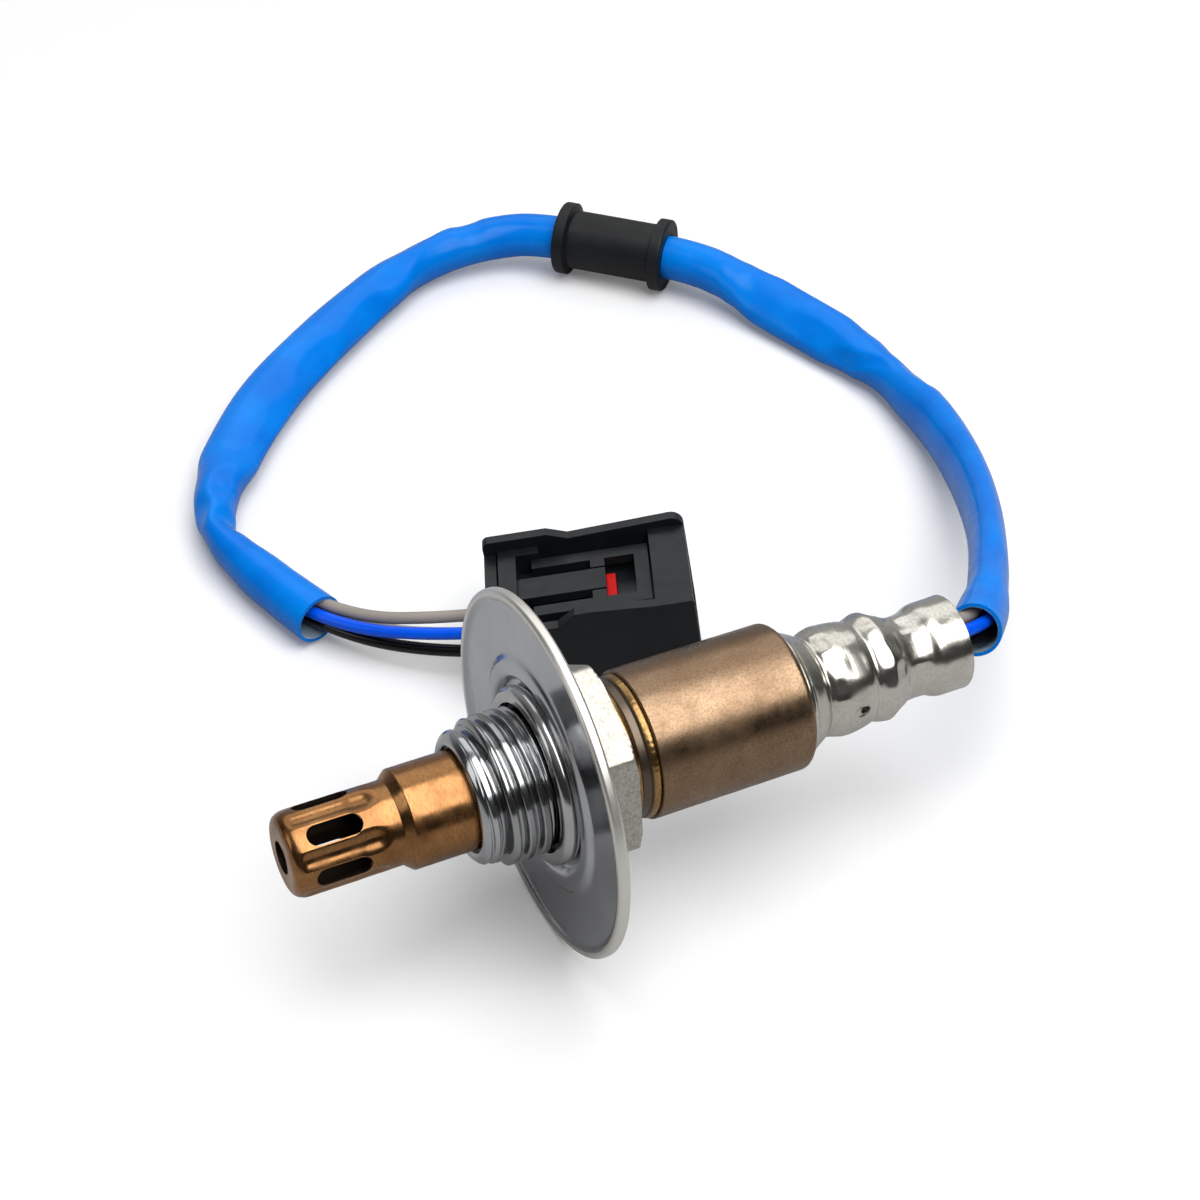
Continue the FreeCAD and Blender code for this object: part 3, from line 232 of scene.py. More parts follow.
# %% Values of a finish
class Level:
    """One value of a finish that may change over the surface."""

    def __init__(self, finish, socket):
        self.finish = finish
        self.socket = socket

    def math(self, operation, first, second):
        return self.finish.node("Math", {"operation": operation}, {0: first, 1: second})

    def __add__(self, other):
        return self.math("ADD", self, other)

    __radd__ = __add__

    def __mul__(self, other):
        return self.math("MULTIPLY", self, other)

    __rmul__ = __mul__

    def __sub__(self, other):
        return self.math("SUBTRACT", self, other)

    def __rsub__(self, other):
        return self.math("SUBTRACT", other, self)

    def __lt__(self, other):
        return self.math("LESS_THAN", self, other)


# %% [markdown]
# Every other node comes from one method. It sets the node's settings first, because they
# can change which inputs the node has, and then fills or links its inputs. The world's
# tree needs the same method as the finishes, so it stands in a class of its own.


# %% Trees of nodes
class Tree:
    """Makes the nodes of one material or of the world."""

    def __init__(self, tree):
        self.tree = tree

    def node(self, kind, settings=None, inputs=None, out=0):
        """A new node, known by one of its outputs."""
        made = self.tree.nodes.new("ShaderNode" + kind)
        for name, value in (settings or {}).items():
            setattr(made, name, value)
        for name, value in (inputs or {}).items():
            if isinstance(value, Level):
                self.tree.links.new(value.socket, made.inputs[name])
            else:
                made.inputs[name].default_value = value
        return None if out is None else Level(self, made.outputs[out])

    def steps(self, level, low, high, start=0.0, finish=1.0, smooth=False):
        """The level, stretched so that low becomes start and high becomes finish."""
        kind = "SMOOTHSTEP" if smooth else "LINEAR"
        return self.node("MapRange", {"interpolation_type": kind}, {
            "Value": level, "From Min": low, "From Max": high,
            "To Min": start, "To Max": finish})


# %% [markdown]
# A finish on this part is always one Principled shader with a few things that vary over the
# surface: its colour, its roughness and its relief. The class opens the shader, sets what
# is the same all over on the shader itself, and measures noise in real millimetres, so that
# a grain keeps its true size on every piece.


# %% Finishes
class Finish(Tree):
    """A material under construction around one Principled shader."""

    def __init__(self, name, **constants):
        self.material = bpy.data.materials.new(name)
        self.material.use_nodes = True
        super().__init__(self.material.node_tree)
        self.shader = self.tree.nodes["Principled BSDF"]
        for socket, value in constants.items():
            self.shader.inputs[socket.replace("_", " ")].default_value = value
        self.place = self.node("TexCoord", out="Object")

    @classmethod
    def of(cls, material, name):
        """A copied material, opened again for more nodes."""
        opened = cls.__new__(cls)
        material.name = name
        opened.material = material
        opened.tree = material.node_tree
        opened.shader = opened.tree.nodes["Principled BSDF"]
        opened.place = Level(opened, opened.tree.nodes["Texture Coordinate"].outputs["Object"])
        return opened

    def noise(self, grain, detail=3.0, stretch=(1, 1, 1)):
        """Noise from 0 to 1 whose blotches are about that many millimetres across."""
        spread = [share / (grain * MM) for share in stretch]
        where = self.node("Mapping", {}, {"Vector": self.place, "Scale": spread})
        return self.node("TexNoise", {}, {
            "Vector": where, "Scale": 1.0, "Detail": detail, "Roughness": 0.55})

    def blend(self, factor, first, second):
        """A colour between two colours."""
        first, second = ((*c, 1) if isinstance(c, tuple) else c for c in (first, second))
        return self.node("Mix", {"data_type": "RGBA"}, {0: factor, 6: first, 7: second}, out=2)

    def bump(self, height, depth):
        """Relief: the height in parts of the depth, which is in millimetres."""
        return self.node("Bump", {}, {"Height": height, "Distance": depth * MM, "Strength": 1.0})

    def feed(self, **levels):
        """Links each level to the shader's socket of that name."""
        for socket, level in levels.items():
            self.tree.links.new(level.socket, self.shader.inputs[socket.replace("_", " ")])

    def over(self, socket, share, value):
        """Puts another value over what already drives a socket, where the share is 1."""
        held = Level(self, self.shader.inputs[socket].links[0].from_socket)
        if isinstance(value, tuple):
            laid = self.blend(share, held, value)
        else:
            laid = held * (1 - share) + share * value
        self.tree.links.new(laid.socket, self.shader.inputs[socket])


# %% [markdown]
# The sleeve and the wires' insulation are soft glossy plastic. A single colour with one
# roughness would look like paint on a screen, so the colour drifts a little over every
# centimetre, finger grease makes the roughness wander, and a very low relief softens the
# highlights.

# %% Plastics of the lead
PLASTIC_GRAIN = 1.8
PLASTIC_RELIEF = 0.010


def glossy_plastic(name, colour, shade, rough, shine=0.35):
    finish = Finish(name, Specular_IOR_Level=shine, IOR=1.47)
    finish.feed(
        Base_Color=finish.blend(finish.steps(finish.noise(9.0), 0.3, 0.7), colour, shade),
        Roughness=finish.steps(finish.noise(2.5), 0.3, 0.7, rough - 0.06, rough + 0.1),
        Normal=finish.bump(finish.noise(PLASTIC_GRAIN, detail=1.0), PLASTIC_RELIEF),
    )
    return finish.material


azure_plastic = glossy_plastic("blue_sleeve", (0.0, 0.225, 0.82), (0.0, 0.165, 0.70), 0.20, 0.16)
pale_lining = glossy_plastic("sleeve_lining", (0.42, 0.55, 0.66), (0.33, 0.45, 0.58), 0.35)
insulation = {
    "black": glossy_plastic("wire_black", (0.002, 0.002, 0.0025), (0.004, 0.004, 0.005), 0.16),
    "blue": glossy_plastic("wire_blue", (0.0, 0.10, 0.84), (0.0, 0.07, 0.70), 0.20, 0.25),
    "grey": glossy_plastic("wire_grey", (0.34, 0.30, 0.26), (0.28, 0.25, 0.22), 0.35),
    "white": glossy_plastic("wire_white", (0.80, 0.80, 0.78), (0.74, 0.73, 0.70), 0.40),
}
print("plastics:", azure_plastic.name, pale_lining.name, *insulation)

# %% [markdown]
# The blue sleeve is extruded tube, so it flattens where it bends and creases where the
# lead was folded for packing. A cloth simulation would find its own folds; a table of
# sections keeps them where the real ones are. Its half width, half height and roll are
# given at a few places along it and run smoothly between them.

# %% Sections of the blue sleeve
SLEEVE_WALL = 0.5 * MM
# Share of the sleeve's length, half width and half height in mm, roll in degrees
PRESSED = (
    (0.000, 3.50, 3.50, 0), (0.018, 3.35, 3.60, 0), (0.050, 2.70, 4.15, 0),
    (0.110, 2.50, 4.25, 0), (0.170, 2.50, 4.25, 4), (0.215, 2.75, 4.05, 2),
    (0.245, 2.75, 3.70, 12), (0.268, 2.50, 3.10, 10), (0.295, 3.60, 3.10, -34),
    (0.325, 4.30, 2.60, -42), (0.380, 4.40, 2.50, -40), (0.415, 3.80, 3.10, -30),
    (0.440, 3.50, 3.50, 0), (0.560, 3.50, 3.50, 0), (0.620, 3.45, 3.45, 0),
    (0.665, 3.35, 3.50, -10), (0.705, 4.05, 2.85, -24), (0.760, 4.35, 2.55, -26),
    (0.830, 4.60, 2.30, -24), (0.880, 4.45, 2.50, -18), (0.910, 3.30, 3.40, -8),
    (0.938, 2.85, 3.50, 0), (0.955, 2.30, 3.45, 8), (0.970, 2.80, 3.50, 8),
    (0.985, 3.40, 3.45, 0), (1.000, 3.65, 3.40, 0),
)


def ease(value, low, high):
    """Smoothly from 0 at low to 1 at high."""
    part = min(1.0, max(0.0, (value - low) / (high - low)))
    return part * part * (3 - 2 * part)


def pressed(share):
    """Half width, half height and roll of the sleeve at a share of its length."""
    for here, there in zip(PRESSED, PRESSED[1:]):
        if share <= there[0]:
            part = ease(share, here[0], there[0])
            wide, high, roll = (a + (b - a) * part for a, b in zip(here[1:], there[1:]))
            return wide * MM, high * MM, roll
    wide, high, roll = PRESSED[-1][1:]
    return wide * MM, high * MM, roll


print("sleeve pressed to", min(row[2] for row in PRESSED) * 2, "mm at its flattest")

# %% [markdown]
# The folds also leave hollows in the sleeve's wall. A bump in the material would only
# shade them, so the wall itself is pressed in. Each dent has a flat bottom and a soft
# edge. The sleeve's ends are cut square and show a pale inner side, which is a thin
# lining just inside the wall.

# %% Blue sleeve
# Share along the sleeve, angle round it in degrees, half length in shares, half width, depth
DENTS = (
    (0.955, 150, 0.012, 40, 0.16), (0.940, 60, 0.012, 34, 0.18), (0.915, 120, 0.016, 30, 0.16),
    (0.600, 95, 0.014, 55, 0.12), (0.655, 60, 0.030, 30, 0.12), (0.690, 110, 0.022, 26, 0.14),
    (0.735, 140, 0.020, 30, 0.14), (0.790, 135, 0.020, 34, 0.18), (0.860, 130, 0.026, 34, 0.16),
    (0.252, 75, 0.014, 34, 0.16), (0.292, 140, 0.022, 26, 0.15), (0.235, 25, 0.020, 28, 0.14),
    (0.330, 110, 0.024, 24, 0.12), (0.400, 95, 0.014, 40, 0.10), (0.060, 80, 0.022, 30, 0.08),
)
SLEEVE_AROUND = 48
LINED_POINTS = 8
LINING_INSET = 0.42 * MM
LINING_WALL = 0.1 * MM


def dented(share, angle):
    """The part of the sleeve's radius that its dents press in at a place."""
    depth = 0.0
    for along, around, half_length, half_width, deep in DENTS:
        away = (math.degrees(angle) - around + 180) % 360 - 180
        near = ((share - along) / half_length) ** 2 + (away / half_width) ** 2
        depth += deep * math.exp(-near * near)
    return depth


def lining(name, line, first, last):
    """The pale inner side of the sleeve between two shares of its length."""
    def inner(share):
        wide, high, roll = pressed(first + share * (last - first))
        return wide - LINING_INSET, high - LINING_INSET, roll

    tube(name, line, inner, pale_lining, SLEEVE_AROUND, wall=LINING_WALL)


sleeve = tube("blue_sleeve", sleeve_line, pressed, azure_plastic, SLEEVE_AROUND,
              wall=SLEEVE_WALL, stands_for=["protective_sleeve"], dent=dented)
lined_share = LINED_POINTS / len(sleeve_line)
lining("sleeve_lining_first", sleeve_line[:LINED_POINTS], 0.0, lined_share)
lining("sleeve_lining_last", sleeve_line[-LINED_POINTS:], 1.0 - lined_share, 1.0)

# %% [markdown]
# Inside the sleeve the four wires lie side by side, and they show where it ends. Four
# separate routes would have to be kept apart by hand. So each wire follows the same
# route, moved sideways, from its contact in the sensor to its cavity in the connector.

# %% Wires
WIRE_RADIUS = 0.85 * MM
WIRE_SPREAD = 0.95 * MM
CONTACT_SPREAD = 1.3 * MM
CONTACT_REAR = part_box("contact_spring_1")[1].x
SIDES = {"black": (-1, -1), "white": (1, -1), "grey": (1, 1), "blue": (-1, 1)}
# How the connector points, and how far each wire is straight before and in its seal
PLUG_AHEAD = Vector((0.9153, -0.3754, 0.1461)).normalized()
WIRE_LEAD = 6.1 * MM
WIRE_SEAT = 3.0 * MM


def beside(points, across, up):
    """The route moved sideways, with the offset carried along without twist."""
    offset = Vector((0, across, up))
    moved = [points[0] + offset]
    for behind, here, ahead in zip(points, points[1:], points[2:]):
        before, after = (here - behind).normalized(), (ahead - here).normalized()
        moved.append(here + offset - before * (offset.dot(after) / (1 + before.dot(after))))
        offset = before.rotation_difference(after) @ offset
    return moved + [points[-1] + offset]


def cavity_mouth(number):
    """Centre of a wire seal in the connector: where its wire goes in."""
    low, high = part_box(f"wire_seal_{number}")
    return (low + high) / 2


def round_wire(share):
    return WIRE_RADIUS, WIRE_RADIUS, 0


wires = {}
for number, (colour, (across, up)) in enumerate(SIDES.items(), start=1):
    start = [Vector((x, across * CONTACT_SPREAD, up * CONTACT_SPREAD))
             for x in (CONTACT_REAR, ROUTE[1].x)]
    mouth = cavity_mouth(number)
    entry = [mouth - PLUG_AHEAD * WIRE_LEAD, mouth + PLUG_AHEAD * WIRE_SEAT]
    shared = beside(ROUTE, across * WIRE_SPREAD, up * WIRE_SPREAD)[2:]
    line = centreline(start + shared + entry)
    made = tube(f"lead_{colour}", line, round_wire, insulation[colour], 16,
                stands_for=[f"wire_{colour}"])
    wires[colour] = (made, line)

# %% Cords
for colour, (wire, line) in wires.items():
    length_of(line)
    print("wire", colour, round(length_of(line) / MM, 1), "mm")
length_of(sleeve_line)

# %% [markdown]
# The sensor is a row of metals, and each was finished in its own way: drawn and tinted by
# heat, turned and brushed, blasted, rolled, plated. A separate tree for each would say the
# same things ten times. They share one recipe: a base colour that drifts a little, a
# roughness that follows the handling and machining marks, and a fine relief at the true
# size of its grain. A speck lets the grain darken the colour, as pits and dust do.


# %% Metals
def metal(name, colour, shade, rough, grain, relief, drift=6.0, spread=0.08,
          stretch=(1, 1, 1), speck=0.0):
    """A metal. Grain, relief and drift are in mm; the speck goes from 0 to 1."""
    finish = Finish(name, Metallic=1.0)
    marks = finish.noise(grain, detail=5.0, stretch=stretch)
    body = finish.blend(finish.steps(finish.noise(drift), 0.3, 0.7), colour, shade)
    dark = tuple(part * 0.45 for part in shade)
    finish.feed(
        Base_Color=finish.blend(finish.steps(marks, 0.42, 0.64) * speck, body, dark),
        Roughness=finish.steps(finish.noise(drift / 2), 0.3, 0.7, rough - spread, rough + spread),
        Normal=finish.bump(marks, relief),
    )
    return finish.material


METALS = {
    "copper_cover": dict(
        colour=(0.40, 0.20, 0.08), shade=(0.26, 0.12, 0.045), rough=0.25,
        grain=0.14, relief=0.004, drift=4.0, stretch=(1, 0.2, 0.2), speck=0.35),
    "polished_steel": dict(
        colour=(0.54, 0.55, 0.56), shade=(0.42, 0.43, 0.44), rough=0.16,
        grain=0.35, relief=0.005, spread=0.05, stretch=(1, 0.1, 0.1), speck=0.15),
    "blasted_steel": dict(
        colour=(0.57, 0.55, 0.49), shade=(0.48, 0.46, 0.40), rough=0.42,
        grain=0.40, relief=0.022, speck=0.5),
    "bright_sheet": dict(
        colour=(0.52, 0.53, 0.55), shade=(0.44, 0.45, 0.48), rough=0.17,
        grain=1.5, relief=0.004, drift=9.0, spread=0.05),
    "gasket_steel": dict(
        colour=(0.56, 0.56, 0.56), shade=(0.44, 0.44, 0.44), rough=0.15,
        grain=0.8, relief=0.006, spread=0.05),
    "weld_brass": dict(
        colour=(0.46, 0.28, 0.10), shade=(0.30, 0.18, 0.075), rough=0.24,
        grain=0.25, relief=0.008, drift=2.5, speck=0.4),
    "bronze_body": dict(
        colour=(0.32, 0.215, 0.135), shade=(0.25, 0.158, 0.092), rough=0.32,
        grain=0.28, relief=0.008, speck=0.45),
    "nickel_sleeve": dict(
        colour=(0.72, 0.70, 0.64), shade=(0.62, 0.59, 0.52), rough=0.21,
        grain=0.35, relief=0.008, drift=4.0, spread=0.06, speck=0.25),
    "spring_metal": dict(
        colour=(0.62, 0.50, 0.30), shade=(0.55, 0.44, 0.26), rough=0.30,
        grain=0.4, relief=0.004),
    "terminal_metal": dict(
        colour=(0.70, 0.68, 0.62), shade=(0.62, 0.60, 0.54), rough=0.28,
        grain=0.4, relief=0.004),
}
metals = {name: metal(name, **recipe) for name, recipe in METALS.items()}
print("metals:", *metals)

# %% [markdown]
# Ceramics, rubber and moulded plastic are not metallic, so they show their own colour and
# only a weak reflection. Pictures of real surfaces could cover them, but noise needs none
# and keeps its grain at the true size. So their colour drifts a little, and a fine relief
# breaks up the highlight: moulded plastic takes a spark-eroded grain from its mould.


# %% Ceramics, rubbers and moulded plastics
def matte(name, colour, shade, rough, grain, relief, shine=0.5):
    finish = Finish(name, Specular_IOR_Level=shine)
    finish.feed(
        Base_Color=finish.blend(finish.steps(finish.noise(5.0), 0.3, 0.7), colour, shade),
        Roughness=finish.steps(finish.noise(2.0), 0.3, 0.7, rough - 0.06, rough + 0.06),
        Normal=finish.bump(finish.noise(grain, detail=4.0), relief),
    )
    return finish.material


MATTES = {
    "alumina": dict(
        colour=(0.82, 0.80, 0.76), shade=(0.76, 0.74, 0.70), rough=0.60, grain=0.2, relief=0.006),
    "talc": dict(
        colour=(0.70, 0.68, 0.62), shade=(0.62, 0.60, 0.55), rough=0.85, grain=0.2, relief=0.02),
    "zirconia": dict(
        colour=(0.78, 0.77, 0.74), shade=(0.70, 0.69, 0.66), rough=0.45, grain=0.2, relief=0.004),
    "vent_membrane": dict(
        colour=(0.80, 0.80, 0.80), shade=(0.74, 0.74, 0.74), rough=0.70, grain=0.3, relief=0.01),
    "seal_rubber": dict(
        colour=(0.25, 0.09, 0.04), shade=(0.20, 0.07, 0.03), rough=0.55, grain=0.3, relief=0.01),
    "grommet_rubber": dict(
        colour=(0.004, 0.005, 0.006), shade=(0.007, 0.008, 0.009), rough=0.50,
        grain=0.3, relief=0.006, shine=0.3),
    "lead_rubber": dict(
        colour=(0.005, 0.0055, 0.0065), shade=(0.008, 0.009, 0.010), rough=0.48,
        grain=0.3, relief=0.006, shine=0.3),
    "connector_plastic": dict(
        colour=(0.005, 0.0065, 0.008), shade=(0.008, 0.0105, 0.013), rough=0.36,
        grain=0.25, relief=0.012, shine=0.32),
    "retainer_plastic": dict(
        colour=(0.52, 0.002, 0.002), shade=(0.44, 0.002, 0.002), rough=0.45,
        grain=0.25, relief=0.01, shine=0.2),
}
mattes = {name: matte(name, **recipe) for name, recipe in MATTES.items()}
print("mattes:", *mattes)

# %% [markdown]
# Five pieces change colour at a given place: the disc's rolled rim is a pale cream, the flat
# ring between the weld beads is darker, the thread is darker than the brushed nose, and
# painted shade makes the inside of the tip cover and the vent pit near black.
# Each could be a piece of its own, but the change has no edge in the real metal. So the
# finish is copied and a share, worked out from the place on the piece, lays the other
# colour and roughness over it.

# %% Places where a finish changes
BODY_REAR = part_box("body_cover")[1].x / MM
RIM_RADIUS = (21.6, 21.9)
GROOVE_FRONT, GROOVE_REAR = (10.95, 11.15), (12.2, 12.5)
NOSE_REAR = (-7.1, -6.8)
PAINTED_SHADE_EDGE = -0.0006
VENT_ALONG, VENT_ANGLE = 7.3, math.pi
PIT_BACK = 0.5
PIT_CENTRE = Vector((BODY_REAR + VENT_ALONG + PIT_BACK, -6.6, 0)) * MM
PIT_RADIUS = (0.45, 0.75)


def rising(zone, level, edge):
    """From 0 to 1 between the two places of an edge, which are in mm."""
    return zone.steps(level, edge[0] * MM, edge[1] * MM)


def outwards(zone):
    """The vector from the sensor's axis to the place."""
    return zone.node("VectorMath", {"operation": "MULTIPLY"}, {0: zone.place, 1: (0, 1, 1)})


def on_rim(zone):
    """1 where the distance from the sensor's axis is that of the disc's rolled rim."""
    off_axis = zone.node("VectorMath", {"operation": "LENGTH"}, {0: outwards(zone)}, out="Value")
    return rising(zone, off_axis, RIM_RADIUS)


def in_groove(zone):
    """1 in the flat ring between the weld beads."""
    along = zone.node("SeparateXYZ", {}, {0: zone.place}, out="X")
    return rising(zone, along, GROOVE_FRONT) - rising(zone, along, GROOVE_REAR)


def past_nose(zone):
    """1 on the thread, which is darker than the brushed nose."""
    along = zone.node("SeparateXYZ", {}, {0: zone.place}, out="X")
    return rising(zone, along, NOSE_REAR)


def inside(zone):
    """1 on the faces that look towards the sensor's axis."""
    facing = zone.node("VectorMath", {"operation": "DOT_PRODUCT"}, {
        0: zone.node("TexCoord", out="Normal"), 1: outwards(zone)}, out="Value")
    return facing < PAINTED_SHADE_EDGE


def in_vent(zone):
    """1 in the vent hole of the rear sleeve, where hardly any light gets."""
    away = zone.node("VectorMath", {"operation": "DISTANCE"}, {
        0: zone.place, 1: PIT_CENTRE}, out="Value")
    return 1.0 - rising(zone, away, PIT_RADIUS)


# %% [markdown]
# The five changed finishes are made here. The finish that each starts from stays as it
# was, for the other pieces that wear it.


# %% Changed finishes
def zoned(base, name, colour, rough, share_of):
    """The base finish again, with another colour and roughness where the share is 1."""
    zone = Finish.of(base.copy(), name)
    share = share_of(zone)
    zone.over("Base Color", share, colour)
    zone.over("Roughness", share, rough)
    print(name, "from", base.name)
    return zone.material


rimmed_sheet = zoned(metals["bright_sheet"], "rimmed_sheet", (0.80, 0.78, 0.72), 0.38, on_rim)
weld_dark_ring = zoned(metals["weld_brass"], "weld_dark_ring", (0.13, 0.10, 0.075), 0.34, in_groove)
thread_steel = zoned(metals["polished_steel"], "thread_steel", (0.38, 0.385, 0.39), 0.15,
                     past_nose)
# The inside of the tip cover is painted near black and rough: painted shade, where the cover's
# walls keep the light out.
cover_painted_shade = zoned(metals["copper_cover"], "cover_painted_shade", (0.020, 0.014, 0.010), 0.60, inside)
# The vent pit is painted near black and rough: painted shade in the pit.
vented_sleeve = zoned(metals["nickel_sleeve"], "vented_sleeve", (0.02, 0.02, 0.018), 0.70,
                      in_vent)

# %% [markdown]
# The connector, the grommet and all that sits inside keep the shape that they have in the
# CAD, so they only get their real finish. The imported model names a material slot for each
# node, and the slot's name finds the finish. Moulded pieces also have slightly rounded
# edges that catch the light. A bevel modifier gives them without touching the CAD mesh.

# %% Finish of the CAD nodes
finishes = {**metals, **mattes}
MOULDED = ("connector_housing", "front_retainer", "cable_grommet", "perimeter_seal")
for name, node in nodes.items():
    slot = node.data.materials[0].name.removeprefix("cad_")
    if slot in finishes:
        node.data.materials[0] = finishes[slot]
    if name in MOULDED:
        edge = node.modifiers.new("edge", "BEVEL")
        edge.width = 0.2 * MM
        edge.segments = 2
        edge.limit_method = "ANGLE"
        edge.angle_limit = math.radians(40)
print("painted", len(nodes), "nodes with", len(finishes), "finishes")

# %% [markdown]
# The metal pieces are turned or drawn round, so each is drawn as half of its section:
# corners along the axis, each with the rounding that its edge has. A screw modifier could
# sweep the outline, but then nothing could change round the axis. Here the outline is
# swept in code, and a press function may move each point in or out, which gives threads,
# flats, flutes and crimps.


# %% Turned pieces
def soften(corners, steps=5):
    """Outline through (along, radius, rounding) corners in mm; each corner is rounded."""
    line = []
    for number, (along, out, rounding) in enumerate(corners):
        here = Vector((along, out))
        if not rounding:
            line.append(here)
            continue
        before = Vector(corners[number - 1][:2]) - here
        after = Vector(corners[(number + 1) % len(corners)][:2]) - here
        enter = here + before.normalized() * min(rounding, before.length * 0.48)
        leave = here + after.normalized() * min(rounding, after.length * 0.48)
        for step in range(steps + 1):
            t = step / steps
            line.append(enter * (1 - t) ** 2 + here * (2 * t * (1 - t)) + leave * t ** 2)
    return line


def divided(line, longest):
    """The same open outline with no run longer than that, in mm."""
    points = [line[0]]
    for before, after in zip(line, line[1:]):
        parts = max(1, math.ceil((after - before).length / longest))
        points += [before.lerp(after, part / parts) for part in range(1, parts + 1)]
    return points


def lathe(name, outline, finish, stands_for, around=192, closed=True, press=None, sharp=35):
    """Turns an outline, in mm, about the sensor's axis.

    press(along, angle, radius) gives the radius that a point is moved to."""
    points = []
    for along, out in outline:
        for step in range(around):
            angle = 2 * math.pi * step / around
            radius = press(along, angle, out) if press else out
            points.append(Vector((along, radius * math.cos(angle), radius * math.sin(angle))) * MM)
    faces = grid_faces(len(outline), around, closed)
    return piece(name, points, faces, finish, stands_for, sharp)


# %% [markdown]
# The housing is one turned and milled piece of steel. Its nose is rolled over the covers,
# and the thread is cut with a 1.9 mm pitch that runs out at both ends. A bump could draw
# the thread, but its crests stand out against the light, so they are real. The outline is
# the same for every angle, and the groove is moved along by one pitch a turn.

# %% Nose and thread
THREAD_PITCH = 1.9
THREAD_DEPTH = 0.9
THREAD_START, RUN_IN = -7.0, 1.2
THREAD_END, RUN_OUT = -1.0, 1.0
# Where the flank of a crest begins and ends, in parts of half a pitch from its middle
FLANK = (0.36, 0.82)
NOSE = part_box("threaded_housing")[0].x / MM


def thread(along, angle, radius):
    """Radius of the shank at a place, with the thread's groove pressed in."""
    if radius < 8.0 or not THREAD_START - RUN_IN < along < THREAD_END + RUN_OUT:
        return radius
    turn = (along - THREAD_START) / THREAD_PITCH - angle / (2 * math.pi)
    groove = ease(abs((turn % 1.0) - 0.5) * 2, *FLANK)
    fade = min(1.0, max(0.0, (along - THREAD_START + RUN_IN) / RUN_IN),
               max(0.0, (THREAD_END + RUN_OUT - along) / RUN_OUT))
    return radius - THREAD_DEPTH * groove * fade


shank = soften([
    (NOSE + 1.6, 6.25, 0), (NOSE + 0.25, 6.45, 0.3), (NOSE, 6.75, 0.2), (NOSE, 7.25, 0.4),
    (NOSE + 0.7, 8.1, 0.6), (NOSE + 1.75, 8.2, 0.1), (NOSE + 1.85, 8.0, 0.1),
    (NOSE + 1.95, 8.0, 0.1), (NOSE + 2.1, 8.25, 0.2), (NOSE + 2.7, 8.2, 0.3),
    (-5.6, 9.0, 0.4), (-0.5, 9.0, 0.3), (0.1, 8.3, 0.2), (2.9, 8.3, 0),
])
lathe("nose_and_thread", divided(shank, 0.09), thread_steel, ["threaded_housing"], around=256,
      closed=False, press=thread, sharp=60)

# %% [markdown]
# The hexagon takes a 22 mm spanner. It was blasted after milling, so its edges are soft,
# and its rear corners are turned down where the flats meet the shoulder. Extruding a
# hexagon would leave those turned corners out. So it is turned like the rest, and a press
# function pulls the round outline in to the flats.

# %% Hexagon and neck
HEX_FRONT, HEX_REAR = 3.0, 9.5
HEX_FLATS = 22.0
HEX_TURN = math.radians(22.4)
HEX_CORNER_CUT = 0.12


def hexagon(along, angle, radius):
    """Pulls a round outline in to the flats of the hexagon."""
    across = (angle - HEX_TURN) % (math.pi / 3) - math.pi / 6
    flat = HEX_FLATS / 2 / math.cos(across)
    corner = HEX_FLATS / math.sqrt(3) - HEX_CORNER_CUT
    return min(radius, flat, corner)


block = soften([
    (HEX_FRONT, 8.3, 0), (HEX_FRONT, 13.2, 0.2), (HEX_REAR - 0.75, 13.2, 0.1),
    (HEX_REAR, 11.75, 0.15), (HEX_REAR, 7.0, 0),
])
lathe("hexagon", divided(block, 0.4), metals["blasted_steel"], ["threaded_housing"], around=360,
      closed=False, press=hexagon, sharp=28)
neck = soften([(HEX_REAR - 0.1, 7.9, 0), (18.5, 7.9, 0.2), (18.5, 5.0, 0), (17.5, 5.0, 0)])
lathe("neck", neck, metals["polished_steel"], ["threaded_housing"], closed=False)

# %% [markdown]
# The crush gasket is one ring of folded sheet, so it shows a rounded outer fold and a
# dark slit. A plain ring would hide that, so the slit is part of its section.

# %% Crush gasket
gasket = soften([
    (0.0, 9.2, 0.1), (0.0, 10.6, 0.5), (1.1, 11.15, 0.5), (2.2, 10.6, 0.5), (2.2, 9.2, 0.1),
    (1.3, 9.3, 0), (1.3, 10.3, 0.1), (0.9, 10.3, 0.1), (0.9, 9.3, 0),
])
lathe("crush_gasket", gasket, metals["gasket_steel"], ["seat_gasket"], sharp=50)

# %% [markdown]
# The heat-shield disc is pressed from sheet, with a raised ring round its seat and a rolled
# rim. Its two sides follow each other at the sheet's thickness, so both are in one outline.

# %% Heat-shield disc
disc = soften([
    (2.2, 9.15, 0), (2.2, 11.5, 0.3), (1.1, 12.2, 0.4), (1.1, 13.9, 0.4), (1.7, 14.8, 0.4),
    (1.7, 21.0, 0.4), (1.2, 21.6, 0.3), (1.15, 22.3, 0.3), (1.5, 22.6, 0.2), (2.35, 22.6, 0.2),
    (2.6, 22.3, 0.2), (2.5, 21.3, 0.3), (2.5, 14.5, 0.4), (1.9, 13.8, 0.4), (1.9, 12.5, 0.4),
    (3.0, 11.9, 0.3), (3.0, 9.15, 0),
])
lathe("shield_disc", disc, rimmed_sheet, ["heat_shield_disc"], around=256, sharp=60)

# %% [markdown]
# The tip cover is drawn from thin sheet and tinted by heat. A light pressing between the
# slots stiffens it, which leaves shallow channels with a spoon-shaped rear end and a faint
# raised rim. They are too soft for cut edges, so a press function sinks them in.

# %% Tip cover
SHEET = 0.45
TIP = -30.4
SLOTS = 6
SLOT_TURN = math.radians(61)
